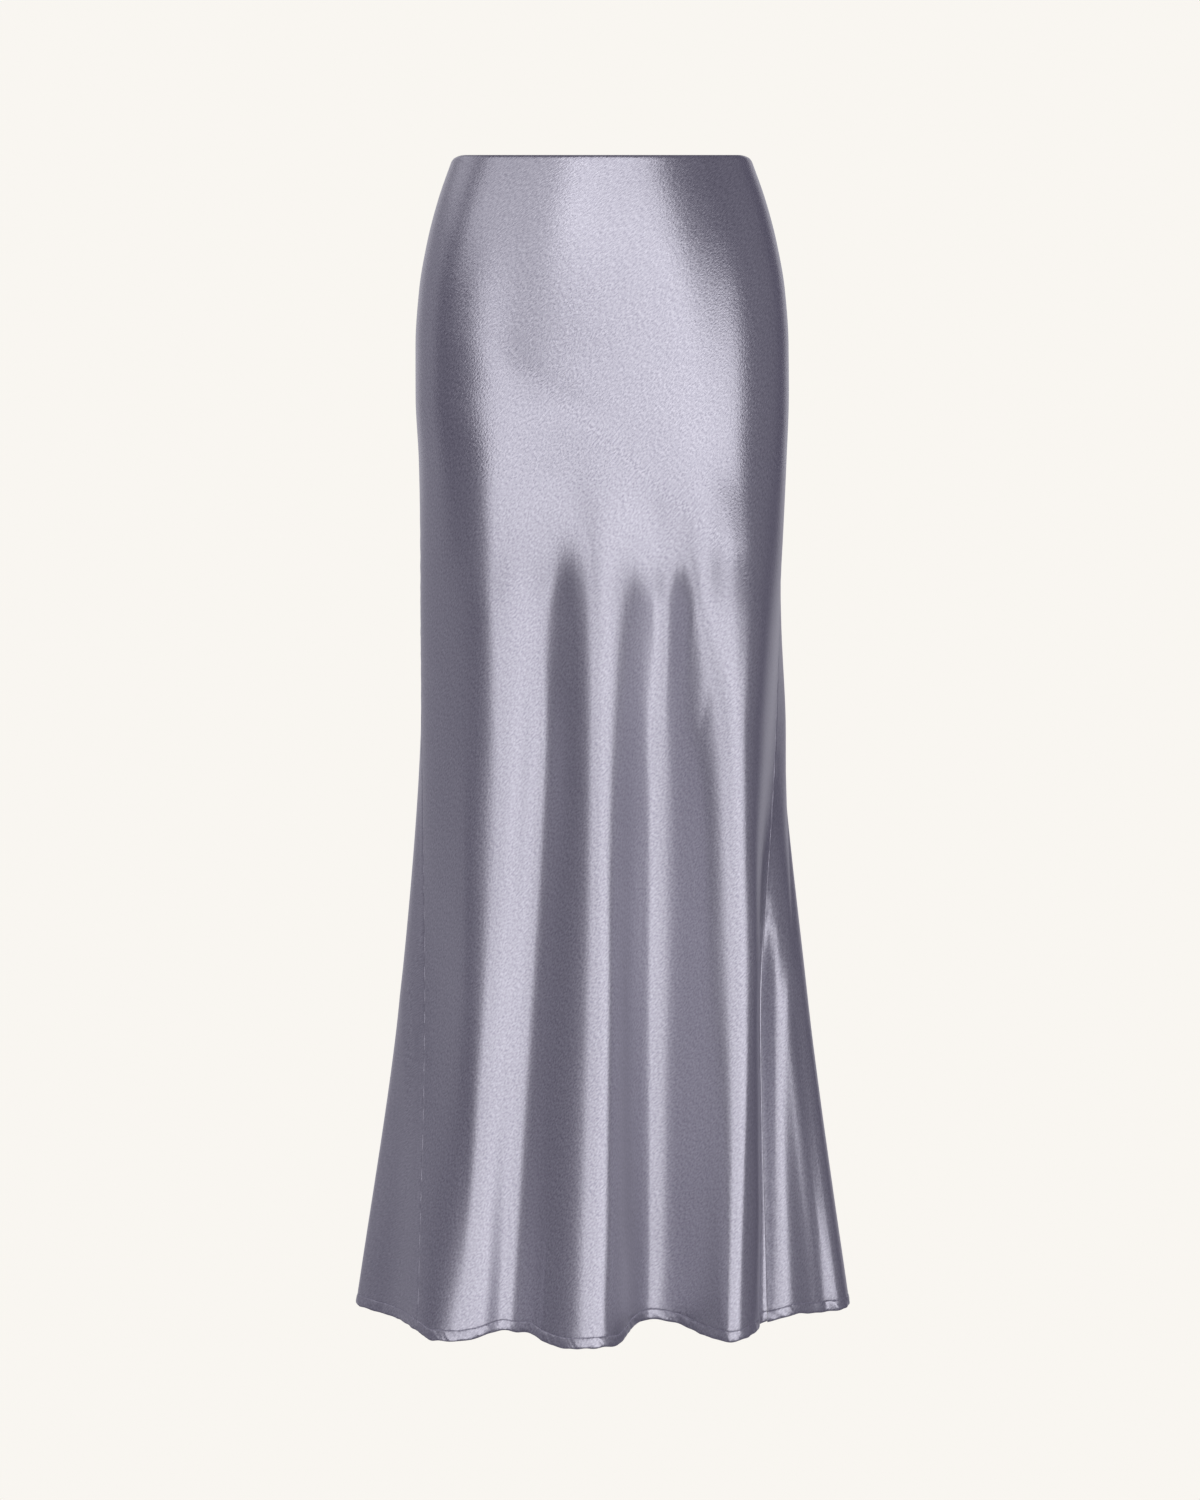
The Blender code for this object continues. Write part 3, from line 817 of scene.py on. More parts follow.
@dataclass(frozen=True)
class Satin(Finish):
    """Satin, on its glossy face or on its matter back."""

    relief: float = 0.00019      # depth of the weave
    floats: float = 0.5          # shares of that depth
    pebble: float = 0.5
    drift: float = 0.32          # how far the tone drifts, and how strongly the weave's sparkle is painted into it as glints
    painted_glints: float = 2.5
    gloss_swing: float = 0.10    # how far the roughness follows the weave
    slack: float = 0.09          # added to the roughness where the cloth hangs free
    taut_above: float = -0.24    # heights between which the cloth comes to hang free
    free_below: float = -0.37

    def slackness(self, wiring: Wiring) -> bpy.types.NodeSocket:
        """Roughness of the cloth: smooth where it is held taut, softer where it hangs free.

        Args:
            wiring: the material's wiring.

        Returns:
            The socket with the roughness.
        """
        split, over = wiring.node("SeparateXYZ"), wiring.node("MapRange", interpolation_type="SMOOTHSTEP")
        wiring.join(wiring.node("TexCoord").outputs["Object"], split.inputs[0])
        wiring.join(split.outputs["Z"], over.inputs["Value"])
        over.inputs["From Min"].default_value = self.free_below
        over.inputs["From Max"].default_value = self.taut_above
        over.inputs["To Min"].default_value = self.roughness + self.slack
        over.inputs["To Max"].default_value = self.roughness
        return over.outputs["Result"]

    def build(self) -> bpy.types.Material:
        """Wires the finish.

        Returns:
            The material.
        """
        made, wiring, shader, place = self.start()
        weave = self.effect(wiring, Effect.BIAS_WEAVE, place, Floats=self.floats, Pebble=self.pebble)
        tone = self.effect(wiring, Effect.TONE_DRIFT, place, Amount=self.drift).outputs["Tone"]
        # painted glints: the weave's sparkle speckles the base colour, and it also varies the roughness
        sparkle = wiring.maths("SUBTRACT", weave.outputs["Sparkle"], 0.5)
        self.colour(wiring, shader, wiring.maths("MULTIPLY_ADD", sparkle, self.painted_glints, tone))
        gloss = wiring.maths("MULTIPLY_ADD", sparkle, self.gloss_swing, self.slackness(wiring))
        wiring.join(gloss, shader.inputs["Roughness"])
        self.bump(wiring, shader, weave.outputs["Height"], self.relief)
        return made


@dataclass(frozen=True)
class Thread(Finish):
    """Spun polyester sewing thread, or a coil's filament, with its twist."""

    ply: Grain = Grain(2600.0, 780.0, lean=35.0)
    drift: float = 1.2           # how far the tone drifts
    relief: float = 0.00005      # depth of the twist

    def build(self) -> bpy.types.Material:
        """Wires the finish.

        Returns:
            The material.
        """
        made, wiring, shader, place = self.start()
        tone = self.effect(wiring, Effect.TONE_DRIFT, place, Amount=self.drift).outputs["Tone"]
        self.colour(wiring, shader, tone)
        self.bump(wiring, shader, wiring.noise(place, self.ply), self.relief)
        return made


@dataclass(frozen=True)
class Tape(Finish):
    """Matt woven polyester tape."""

    ribs: Grain = Grain(300.0, 1500.0)
    least_tone: float = 0.25     # between the ribs, and how much lighter the ribs are
    tone_swing: float = 0.5
    floats: float = 0.2          # shares of the weave's depth
    pebble: float = 0.6
    relief: float = 0.00008
    sheen: float = 0.25

    def build(self) -> bpy.types.Material:
        """Wires the finish.

        Returns:
            The material.
        """
        made, wiring, shader, place = self.start()
        weave = self.effect(wiring, Effect.BIAS_WEAVE, place, Floats=self.floats, Pebble=self.pebble)
        ribs = wiring.noise(place, self.ribs)
        self.colour(wiring, shader, wiring.maths("MULTIPLY_ADD", ribs, self.tone_swing, self.least_tone))
        self.bump(wiring, shader, wiring.maths("ADD", ribs, weave.outputs["Height"]), self.relief)
        shader.inputs["Sheen Weight"].default_value = self.sheen
        return made


@dataclass(frozen=True)
class PaintedZinc(Finish):
    """Zinc, painted to match the cloth, rubbed along its edges."""

    bare: Colour = (0.46, 0.45, 0.46)
    clouds: Grain = Grain(700.0, 700.0, detail=3.0)
    rubbed_from: float = 0.53    # how pointed an edge is where the paint starts to wear
    rubbed_gain: float = 9.0
    gloss_swing: float = 0.12    # how far the roughness follows the clouds
    relief: float = 0.00001
    coat: float = 0.2

    def build(self) -> bpy.types.Material:
        """Wires the finish.

        Returns:
            The material.
        """
        made, wiring, shader, _ = self.start()
        clouds = wiring.noise(wiring.node("TexCoord").outputs["Object"], self.clouds)
        pointed = wiring.node("NewGeometry").outputs["Pointiness"]
        worn = wiring.maths("MULTIPLY", wiring.maths("SUBTRACT", pointed, self.rubbed_from), self.rubbed_gain)
        worn = wiring.maths("MULTIPLY", worn, clouds)
        worn.node.use_clamp = True
        paint = wiring.mix(clouds, self.deep, self.light)
        wiring.join(wiring.mix(worn, paint, self.bare), shader.inputs["Base Color"])
        gloss = wiring.maths("MULTIPLY_ADD", clouds, self.gloss_swing, self.roughness - self.gloss_swing / 2)
        wiring.join(gloss, shader.inputs["Roughness"])
        self.bump(wiring, shader, clouds, self.relief)
        shader.inputs["Coat Weight"].default_value = self.coat
        return made


@dataclass
class Wardrobe:
    """Every finish of the skirt, built once."""

    satin: bpy.types.Material = field(init=False)
    satin_back: bpy.types.Material = field(init=False)
    thread: bpy.types.Material = field(init=False)
    tape: bpy.types.Material = field(init=False)
    coil: bpy.types.Material = field(init=False)
    zinc: bpy.types.Material = field(init=False)

    def __post_init__(self) -> None:
        """Builds the shared effects and then the materials."""
        build_bias_weave()
        build_tone_drift()
        self.satin = Satin(
            "lilac_grey_satin", deep=(0.290, 0.280, 0.330), light=(0.466, 0.456, 0.508),
            roughness=0.27, metallic=0.8,
        ).build()
        self.satin_back = Satin(
            "satin_back", deep=(0.25, 0.24, 0.31), light=(0.31, 0.30, 0.375),
            roughness=0.62, metallic=0.15, relief=0.0001, gloss_swing=0.03,
        ).build()
        self.thread = Thread(
            "sewing_thread", deep=(0.30, 0.285, 0.37), light=(0.44, 0.42, 0.52), roughness=0.5, metallic=0.1,
        ).build()
        self.tape = Tape(
            "zip_tape_polyester", deep=(0.24, 0.23, 0.30), light=(0.33, 0.32, 0.40), roughness=0.85,
        ).build()
        self.coil = Thread(
            "zip_coil_nylon", deep=(0.26, 0.25, 0.33), light=(0.36, 0.35, 0.43),
            roughness=0.35, ply=Grain(900.0, 270.0, lean=35.0),
        ).build()
        self.zinc = PaintedZinc(
            "painted_zinc", deep=(0.28, 0.27, 0.35), light=(0.33, 0.32, 0.40), roughness=0.35, metallic=0.3,
        ).build()


# --------------------------------------------------------------------------- the cloth
class Lie(Enum):
    """Which way a crease stands."""

    RIDGE = 1.0
    TROUGH = -1.0


@dataclass(frozen=True)
class Crease:
    """A soft fold in the cloth, from an upper end to a lower end."""

    top: tuple[float, float]     # x and z of the ends
    end: tuple[float, float]
    width: float                 # level distance from its line to where it is a third as deep
    depth: float
    lie: Lie = Lie.TROUGH
    fade_top: float = 0.35       # shares of its length over which it fades out
    fade_end: float = 0.35

    def depth_at(self, patch: ClothPatch) -> np.ndarray:
        """How far the crease moves each point of a patch.

        Args:
            patch: the cloth's points.

        Returns:
            Metres out of the cloth.
        """
        across, height = patch.points[..., 0], patch.points[..., 2]
        share = (self.top[1] - height) / (self.top[1] - self.end[1])
        line = self.top[0] + (self.end[0] - self.top[0]) * share
        along = smooth_step(share / self.fade_top) * smooth_step((1.0 - share) / self.fade_end)
        return self.lie.value * self.depth * along * np.exp(-(((across - line) / self.width) ** 2))


@dataclass(frozen=True)
class HemSag:
    """A short stretch of hem that hangs lower than the hem's own line, or higher."""

    across: float                # x of its middle
    half_width: float
    drop: float

    def drop_at(self, across: np.ndarray) -> np.ndarray:
        """Metres by which the hem drops at each x."""
        return self.drop * np.exp(-(((across - self.across) / self.half_width) ** 2))


class SideSeam(Enum):
    """The two side seams of a panel, with the way towards each."""

    FIRST = -1.0
    LAST = 1.0


@dataclass(frozen=True)
class SeamEdge:
    """How a panel's edges lie along the side seams."""

    half: float = 0.00006        # from the seam's line to the cloth
    slot_half: float = 0.0012    # more than that in the zip's slot, round the slider
    slot_from: float = 0.0160    # depths below the top edge between which the slot closes
    slot_to: float = 0.0240
    fade: float = 1.6            # the shift dies out over so many times itself, or over the least
    fade_least: float = 0.001
    roll: float = 0.00055        # how deep the edges roll in, above the folds
    roll_left: float = 0.30      # share of that left in the folds
    roll_heights: tuple[float, float] = (-0.50, -0.66)
    width: float = 0.0009        # of the roll
    pucker: float = 0.00022      # how far the stitching draws the cloth up
    pucker_length: float = 0.021
    pucker_lean: float = 0.6
    pucker_width: float = 0.009
    pucker_from: float = 0.2     # depth below the waist at which it is full

    def slot_at(self, from_top: np.ndarray) -> np.ndarray:
        """How far the zip's slot parts the edges at each depth below the top edge."""
        closed = smooth_step((from_top - self.slot_from) / (self.slot_to - self.slot_from))
        return self.slot_half * (1.0 - closed)

    def rolled(self, height: np.ndarray, from_seam: np.ndarray, width: float) -> np.ndarray:
        """How deep an edge rolls in.

        Args:
            height: each point's height.
            from_seam: its distance from the seam.
            width: the distance at which about a third of the depth is left.

        Returns:
            Metres into the cloth.
        """
        above, below = self.roll_heights
        share = 1.0 - (1.0 - self.roll_left) * smooth_step((above - height) / (above - below))
        return self.roll * share * np.exp(-((from_seam / width) ** 2))

    def puckered(self, height: np.ndarray, from_seam: np.ndarray, seed: np.ndarray) -> np.ndarray:
        """How far the stitching puckers the cloth.

        Args:
            height: each point's height.
            from_seam: its distance from the seam.
            seed: any number for each point's seam.

        Returns:
            Metres out of the cloth.
        """
        wave = uneven_wave(height + from_seam * self.pucker_lean, self.pucker_length, seed)
        fade = np.exp(-((from_seam / self.pucker_width) ** 2)) * smooth_step(-height / self.pucker_from)
        return self.pucker * wave * fade


@dataclass(frozen=True)
class TurnedHem:
    """The narrow hem, turned up twice and topstitched."""

    band: float = 0.0092         # from its lower edge to the stitch line
    tuck: float = 0.0004         # how far the panel runs down, and in, behind its fold
    groove: float = 0.00022      # the topstitching's groove
    groove_width: float = 0.0009
    stitch: float = 0.0027
    stitch_rise: float = 0.0001  # from the stitch line to the stitches
    rope: float = 0.00026        # the twist that a narrow hem takes on the bias
    rope_lengths: tuple[float, float] = (0.0125, 0.0047)    # of its coarse and its fine waves
    rope_leans: tuple[float, float] = (1.1, 0.7)
    rope_seeds: tuple[float, float] = (4.0, 9.0)            # added to the panel's seed, as all here
    rope_fine: float = 0.45
    rope_above: float = 0.8      # share of the twist in the cloth above, where it dies out
    rope_fade: float = 0.008
    rope_behind: float = 0.3     # share of it on the hidden side
    behind: float = -0.001       # where the hidden side begins, out of the cloth
    puff: float = 0.5            # share by which its face swells and sinks
    puff_length: float = 0.034
    puff_seed: float = 7.0
    seam_roll: float = 0.6       # share of the seams' roll
    droop: float = 0.0004        # waves of the lower edge
    droop_length: float = 0.019
    droop_height: float = 0.003
    droop_seed: float = 2.0
    ends: tuple[float, ...] = (0.0, 0.0004, 0.0010, 0.0018)    # distances from a seam of its first rings

    def roping(self, distance: np.ndarray, up: np.ndarray, seed: float) -> np.ndarray:
        """The twist, in waves that lean along the hem.

        Args:
            distance: metres along the hem.
            up: metres above its lower edge.
            seed: any number, for waves of its own.

        Returns:
            Metres out of the cloth.
        """
        coarse, fine = (
            uneven_wave(distance + up * lean, length, seed + more)
            for lean, length, more in zip(self.rope_leans, self.rope_lengths, self.rope_seeds)
        )
        return self.rope * (coarse + self.rope_fine * fine)


# The section of the turned hem: metres above its lower edge, and metres out of the cloth.
HEM_SECTION = np.array([
    (0.0092, -0.00030), (0.0088, 0.00000), (0.0081, 0.00018), (0.0068, 0.00030), (0.0050, 0.00036),
    (0.0033, 0.00034), (0.0019, 0.00020), (0.0009, -0.00008), (0.0002, -0.00055), (0.0000, -0.00100),
    (0.0003, -0.00150), (0.0012, -0.00185), (0.0030, -0.00200), (0.0055, -0.00195), (0.0078, -0.00175),
    (0.0092, -0.00145), (0.0097, -0.00105),
])


@dataclass(frozen=True)
class AllowanceCut:
    """An overlocked seam allowance, pressed flat against the inside."""

    width: float = 0.0100
    top: float = -0.0058         # height of its upper end
    zip_top: float = -0.0065     # the same beside the zip
    end: float = 0.0140          # its lower end, above the hem's line
    rows: int = 190
    across: tuple[float, ...] = (0.0, 0.08, 0.3, 0.6, 0.85, 0.97, 1.0)    # shares of its width
    lap_below: float = -0.1980   # beside the zip, height below which it laps the seam's line
    lap_over: float = 0.010
    ruffle: float = 0.0003       # unevenness of its cut edge
    ruffle_length: float = 0.031
    ruffle_seed: float = 5.0
    lift: float = 0.00060        # from the panel's outer face to its own
    lift_edge: float = 0.00012   # more than that at its free edge
    wave: float = 0.0001
    wave_length: float = 0.043
    wave_lean: float = 0.01
    roll_width: float = 0.0012   # of the seam's roll on this side
    thick: float = 0.00038
    weave_from: float = 0.4      # its place in the weave, clear of the panel's


@dataclass
class ClothPanel:
    """One bias-cut panel between the side seams, with its hem, topstitching and allowances."""

    name: str
    first: float                 # station numbers of its side seams
    last: float
    columns: int                 # lines down the panel
    hem_columns: int             # rings along the hem
    flat: tuple[float, float]    # the cut laid flat, and its area
    flat_area: float
    zip_edge: SideSeam
    creases: tuple[Crease, ...]
    sags: tuple[HemSag, ...]
    seed: float                  # for waves of its own
    lap: float                   # from the seam's line to where an allowance starts, but for the zip
    seam: SeamEdge = SeamEdge()
    hem: TurnedHem = TurnedHem()
    allowance: AllowanceCut = AllowanceCut()
    rows: int = 216              # even rows
    # Shares of the way down at which its rows lie: close ones at both ends, even ones between.
    top_rows: tuple[float, ...] = (0.0, 0.0004, 0.0011, 0.0022, 0.0040)
    body_rows: tuple[float, float] = (0.0075, 0.9760)
    low_rows: tuple[float, ...] = (0.9835, 0.9885, 0.9903, 0.9912)
    # Distances from a seam of the first lines beside it.
    edges: tuple[float, ...] = (0.0, 0.0004, 0.0009, 0.0015, 0.0024, 0.0038)
    thick: float = 0.0005
    turned: float = 0.0012       # through the turned top edge
    top_turn: float = 0.0080     # depth of that edge
    turn_step: float = 0.0020
    curl: float = 0.0007         # how far the very edge bends in
    curl_height: float = 0.0016
    edge_thin: float = 0.35      # share of the thickness left at the very edge

    def seam_fade(self, patch: ClothPatch) -> tuple[np.ndarray, np.ndarray]:
        """Metres from the nearer seam, and -1 or 1 for the way towards it."""
        left, right = patch.round, patch.round[:, -1:] - patch.round
        return np.minimum(left, right), np.where(left < right, -1.0, 1.0)

    def hem_columns_at(self, form: SkirtForm, place: np.ndarray) -> Columns:
        """Lines down the panel, down to its own uneven hem.

        Args:
            form: the skirt's form.
            place: station numbers, one a line.

        Returns:
            The lines.
        """
        lines = form.columns(place)
        for sag in self.sags:
            lines.hem = lines.hem - sag.drop_at(lines.values[-1, :, 0])
        return lines

    def creased(self, patch: ClothPatch) -> np.ndarray:
        """How far the creases move each point.

        Args:
            patch: the cloth's points.

        Returns:
            Metres out of the cloth.
        """
        made = np.zeros(patch.round.shape)
        for crease in self.creases:
            made += crease.depth_at(patch)
        return made

    def seam_shift(self, patch: ClothPatch, from_top: np.ndarray) -> np.ndarray:
        """How far the panel's edges stand back from the seams' lines, round the zip most.

        Args:
            patch: the cloth's points.
            from_top: each point's depth below the top edge.

        Returns:
            Metres along the cloth.
        """
        from_seam, side = self.seam_fade(patch)
        slot = np.where(side == self.zip_edge.value, self.seam.slot_at(from_top), 0.0)
        half = self.seam.half + slot
        fade = np.maximum(half * self.seam.fade, self.seam.fade_least)
        return -side * half * np.exp(-((from_seam / fade) ** 2))

    def relief(self, patch: ClothPatch) -> np.ndarray:
        """Creases, and the rolled seam edges with their pucker.

        Args:
            patch: the cloth's points.

        Returns:
            Metres out of the cloth.
        """
        from_seam, side = self.seam_fade(patch)
        height = patch.points[..., 2]
        made = self.creased(patch) - self.seam.rolled(height, from_seam, self.seam.width)
        return made + self.seam.puckered(height, from_seam, self.seed + side)

    def name_of(self, piece: str) -> str:
        """The name of one of the panel's pieces."""
        return self.name.replace("panel", piece)

    def build_panel(self, form: SkirtForm, wardrobe: Wardrobe) -> bpy.types.Object:
        """The panel's shell, from the top edge to the hem's stitch line.

        Args:
            form: the skirt's form.
            wardrobe: the finishes.

        Returns:
            The panel.
        """
        place = even_places(form, self.first, self.last, self.columns, self.edges)
        lines = self.hem_columns_at(form, place)
        down = np.concatenate([self.top_rows, np.linspace(*self.body_rows, self.rows), self.low_rows])
        down = down / down[-1]
        bottom = lines.hem + self.hem.band
        height = lines.top * (1 - down[:, None]) + bottom * down[:, None]
        height = np.concatenate([height, bottom[None, :] - self.hem.tuck])
        patch = cloth_patch(form, place, height)
        above, from_top = np.maximum(height - bottom, 0.0), lines.top - height
        roping = self.hem.roping(patch.round, above + self.hem.band, self.seed)
        move = self.relief(patch)
        move += self.hem.rope_above * roping * np.exp(-((above / self.hem.rope_fade) ** 2))
        move -= self.hem.groove * np.exp(-((above / self.hem.groove_width) ** 2))
        move[-1] -= self.hem.tuck
        move -= self.curl * (1.0 - smooth_step(from_top / self.curl_height))
        outer = patch.moved(move) + patch.along * self.seam_shift(patch, from_top)[..., None]
        turned = 1.0 - smooth_step((from_top - self.top_turn) / self.turn_step)
        thick = self.thick + (self.turned - self.thick) * turned
        thick[0] *= self.edge_thin
        inner = outer - patch.out * thick[..., None]
        spots = np.stack([patch.round, height], axis=-1)
        made = shell(self.name_of("satin"), outer, inner, spots, wardrobe.satin, wardrobe.satin_back)
        return sewn_in(made)

    def build_hem(self, form: SkirtForm, wardrobe: Wardrobe) -> bpy.types.Object:
        """The twice turned hem: a flat roll from the stitch line down.

        Args:
            form: the skirt's form.
            wardrobe: the finishes.

        Returns:
            The hem.
        """
        hem = self.hem
        up, out = HEM_SECTION[:, :1], HEM_SECTION[:, 1:]
        place = even_places(form, self.first, self.last, self.hem_columns, hem.ends)
        height = self.hem_columns_at(form, place).hem + up
        patch = cloth_patch(form, place, height)
        level = patch.round.mean(axis=0)[None, :]
        puff = 1.0 + hem.puff * uneven_wave(level, hem.puff_length, self.seed + hem.puff_seed)
        face = np.maximum(out, 0.0) * puff + np.minimum(out, 0.0)
        twist = hem.roping(level, up, self.seed) * np.where(out > hem.behind, 1.0, hem.rope_behind)
        from_seam, _ = self.seam_fade(patch)
        move = face + twist + self.creased(patch)
        move -= hem.seam_roll * self.seam.rolled(height, from_seam, self.seam.width)
        below_slot = np.full(height.shape, 1.0)
        points = patch.moved(move) + patch.along * self.seam_shift(patch, below_slot)[..., None]
        droop = hem.droop * uneven_wave(level, hem.droop_length, self.seed + hem.droop_seed)
        points[..., 2] += droop * smooth_step((hem.droop_height - up) / hem.droop_height)
        spots = np.stack([np.broadcast_to(level, height.shape), height], axis=-1)
        rings, spots = points.transpose(1, 0, 2), spots.transpose(1, 0, 2)
        return sewn_in(tube(self.name_of("hem"), rings, spots, wardrobe.satin))

    def build_stitches(self, form: SkirtForm, wardrobe: Wardrobe) -> bpy.types.Object:
        """The row of topstitches that holds the hem.

        Args:
            form: the skirt's form.
            wardrobe: the finishes.

        Returns:
            The stitches.
        """
        hem = self.hem
        _, reach = hem_reach(form, self.first, self.last)
        count = int(reach[-1] / hem.stitch)
        place = even_places(form, self.first, self.last, count * STITCH_STEPS + 1)
        height = self.hem_columns_at(form, place).hem + hem.band + hem.stitch_rise
        patch = cloth_patch(form, place, height[None, :])
        roping = hem.roping(patch.round, np.full(patch.round.shape, hem.band), self.seed)
        line = patch.moved(hem.rope_above * roping + self.creased(patch) - hem.groove)
        row = StitchRow(self.name_of("topstitching"), line[0], patch.out[0])
        return sewn_in(row.build(wardrobe.thread))

    def build_allowance(self, form: SkirtForm, wardrobe: Wardrobe, edge: SideSeam) -> bpy.types.Object:
        """The overlocked seam allowance of one side.

        Args:
            form: the skirt's form.
            wardrobe: the finishes.
            edge: which side seam.

        Returns:
            The strip.
        """
        cut, zipped = self.allowance, edge is self.zip_edge
        place = self.last if edge is SideSeam.LAST else self.first
        height = np.linspace(cut.zip_top if zipped else cut.top, HEM_HEIGHT + cut.end, cut.rows)
        start = np.full(height.shape, self.seam.half)
        if zipped:
            start += self.seam.slot_at(-height - form.rim_drop)
            start += self.lap * smooth_step((cut.lap_below - height) / cut.lap_over)
        else:
            start += self.lap
        ruffle = cut.ruffle * uneven_wave(height, cut.ruffle_length, self.seed + cut.ruffle_seed)
        share = np.array(cut.across)
        reach = start[:, None] + share * (cut.width - start + ruffle)[:, None]
        patch = strip_patch(form, place, -edge.value * reach, height)
        height = height[:, None]
        wave = uneven_wave(height + share * cut.wave_lean, cut.wave_length, self.seed)
        lift = cut.lift + cut.lift_edge * share + cut.wave * wave
        outer = patch.moved(self.creased(patch) - self.seam.rolled(height, reach, cut.roll_width) - lift)
        inner = outer - patch.out * cut.thick
        spots = np.stack([reach + cut.weave_from, np.broadcast_to(height, reach.shape)], axis=-1)
        if edge is SideSeam.LAST:
            outer, inner, spots = outer[:, ::-1], inner[:, ::-1], spots[:, ::-1]
        name = self.name_of(f"allowance_{edge.name.lower()}")
        return sewn_in(shell(name, outer, inner, spots, wardrobe.satin_back, wardrobe.satin))

    def build(self, form: SkirtForm, wardrobe: Wardrobe) -> list[bpy.types.Object]:
        """Builds the panel and what is sewn into it.

        Args:
            form: the skirt's form.
            wardrobe: the finishes.

        Returns:
            The panel, its hem, its stitches and its seam allowances.
        """
        panel = self.build_panel(form, wardrobe)
        sewn = [self.build_hem(form, wardrobe), self.build_stitches(form, wardrobe)]
        sewn += [self.build_allowance(form, wardrobe, edge) for edge in SideSeam]
        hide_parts(self.name)
        return [panel, *sewn]


# Each crease: x and z of its upper end and of its lower end, width, depth, how it lies, and its fades.
# The side fold runs down both panels beside the seam on +X, so that their edges stay together.
SIDE_FOLD = Crease((0.1290, -0.560), (0.1335, -1.010), 0.0070, 0.0028, Lie.RIDGE, 0.30, 0.30)

FRONT_CREASES = (
    SIDE_FOLD,
    # over the thighs, across the hips, and a drag above the hem
    Crease((0.1250, -0.24), (0.1260, -0.50), 0.020, 0.0021, Lie.RIDGE),
    Crease((-0.1040, -0.20), (-0.0860, -0.46), 0.022, 0.0020, Lie.RIDGE),
    Crease((-0.1100, -0.140), (0.0324, -0.238), 0.057, 0.0015, Lie.RIDGE, 0.50),
    Crease((-0.0430, -0.872), (-0.0505, -1.004), 0.0020, 0.00045, Lie.RIDGE, 0.50, 0.03),
    # where the folds set in, and the long hollow on the left
    Crease((0.0490, -0.250), (0.0590, -0.480), 0.017, 0.0036, Lie.TROUGH, 0.35, 0.45),
    Crease((0.1020, -0.285), (0.1025, -0.450), 0.012, 0.0021, Lie.TROUGH, 0.35, 0.50),
    Crease((-0.0850, -0.330), (-0.0960, -0.980), 0.017, 0.0022, Lie.TROUGH, 0.20, 0.30),
    Crease((0.0420, -0.295), (0.0430, -0.560), 0.012, 0.0026, Lie.RIDGE, 0.25, 0.60),
    Crease((-0.0450, -0.322), (-0.0460, -0.500), 0.016, 0.0032, Lie.RIDGE, 0.42, 0.60),
    # down the folds
    Crease((0.0620, -0.450), (0.0590, -1.004), 0.021, 0.0027, Lie.TROUGH, 0.20, 0.15),
    Crease((0.0260, -0.440), (0.0255, -0.990), 0.007, 0.0009, Lie.TROUGH, 0.20, 0.20),
    Crease((0.0120, -0.600), (0.0115, -0.970), 0.008, 0.0008, Lie.RIDGE, 0.30, 0.20),
    Crease((-0.1135, -0.480), (-0.1185, -0.860), 0.012, 0.0011, Lie.RIDGE, 0.30, 0.25),
    # two short wrinkles
    Crease((0.0744, -0.765), (0.0630, -0.810), 0.0030, 0.00030),
    Crease((0.0930, -0.430), (0.0829, -0.495), 0.0045, 0.00030),
)
# Each sag: the x of its middle, its half width, and how far the hem drops there.
FRONT_SAGS = (
    HemSag(-0.1470, 0.0060, 0.0022),
    HemSag(-0.0760, 0.0080, 0.0012),
    HemSag(-0.0612, 0.0060, -0.0020),
    HemSag(-0.0350, 0.0160, 0.0026),
    HemSag(0.0155, 0.0070, 0.0030),
    HemSag(0.0835, 0.0120, 0.0022),
)
BACK_CREASES = (
    SIDE_FOLD,
    # across the hips, and over the thighs
    Crease((0.1100, -0.150), (-0.0150, -0.255), 0.052, 0.0016, Lie.RIDGE, 0.30),
    Crease((-0.1120, -0.240), (-0.0900, -0.430), 0.021, 0.0012, Lie.RIDGE),
    Crease((0.0680, -0.275), (0.0740, -0.440), 0.018, 0.0010, Lie.RIDGE),
    Crease((-0.0300, -0.330), (-0.0240, -0.445), 0.012, 0.0008),
    # drags above the hem, a wrinkle, and the hollow of the right flare
    Crease((0.0240, -0.880), (0.0300, -1.004), 0.0020, 0.00045, Lie.RIDGE, 0.50, 0.03),
    Crease((-0.0850, -0.905), (-0.0900, -1.004), 0.0022, 0.00040, Lie.RIDGE, 0.50, 0.03),
    Crease((-0.1735, -0.700), (-0.1700, -0.830), 0.0035, 0.00055, Lie.RIDGE),
    Crease((0.1655, -0.690), (0.1980, -1.004), 0.0062, 0.0040, Lie.TROUGH, 0.25, 0.03),
)
BACK_SAGS = (
    HemSag(0.1545, 0.0120, 0.0020),
    HemSag(0.0900, 0.0130, 0.0018),
    HemSag(0.0350, 0.0080, -0.0016),
    HemSag(-0.0350, 0.0140, 0.0020),
    HemSag(-0.1300, 0.0100, -0.0015),
)


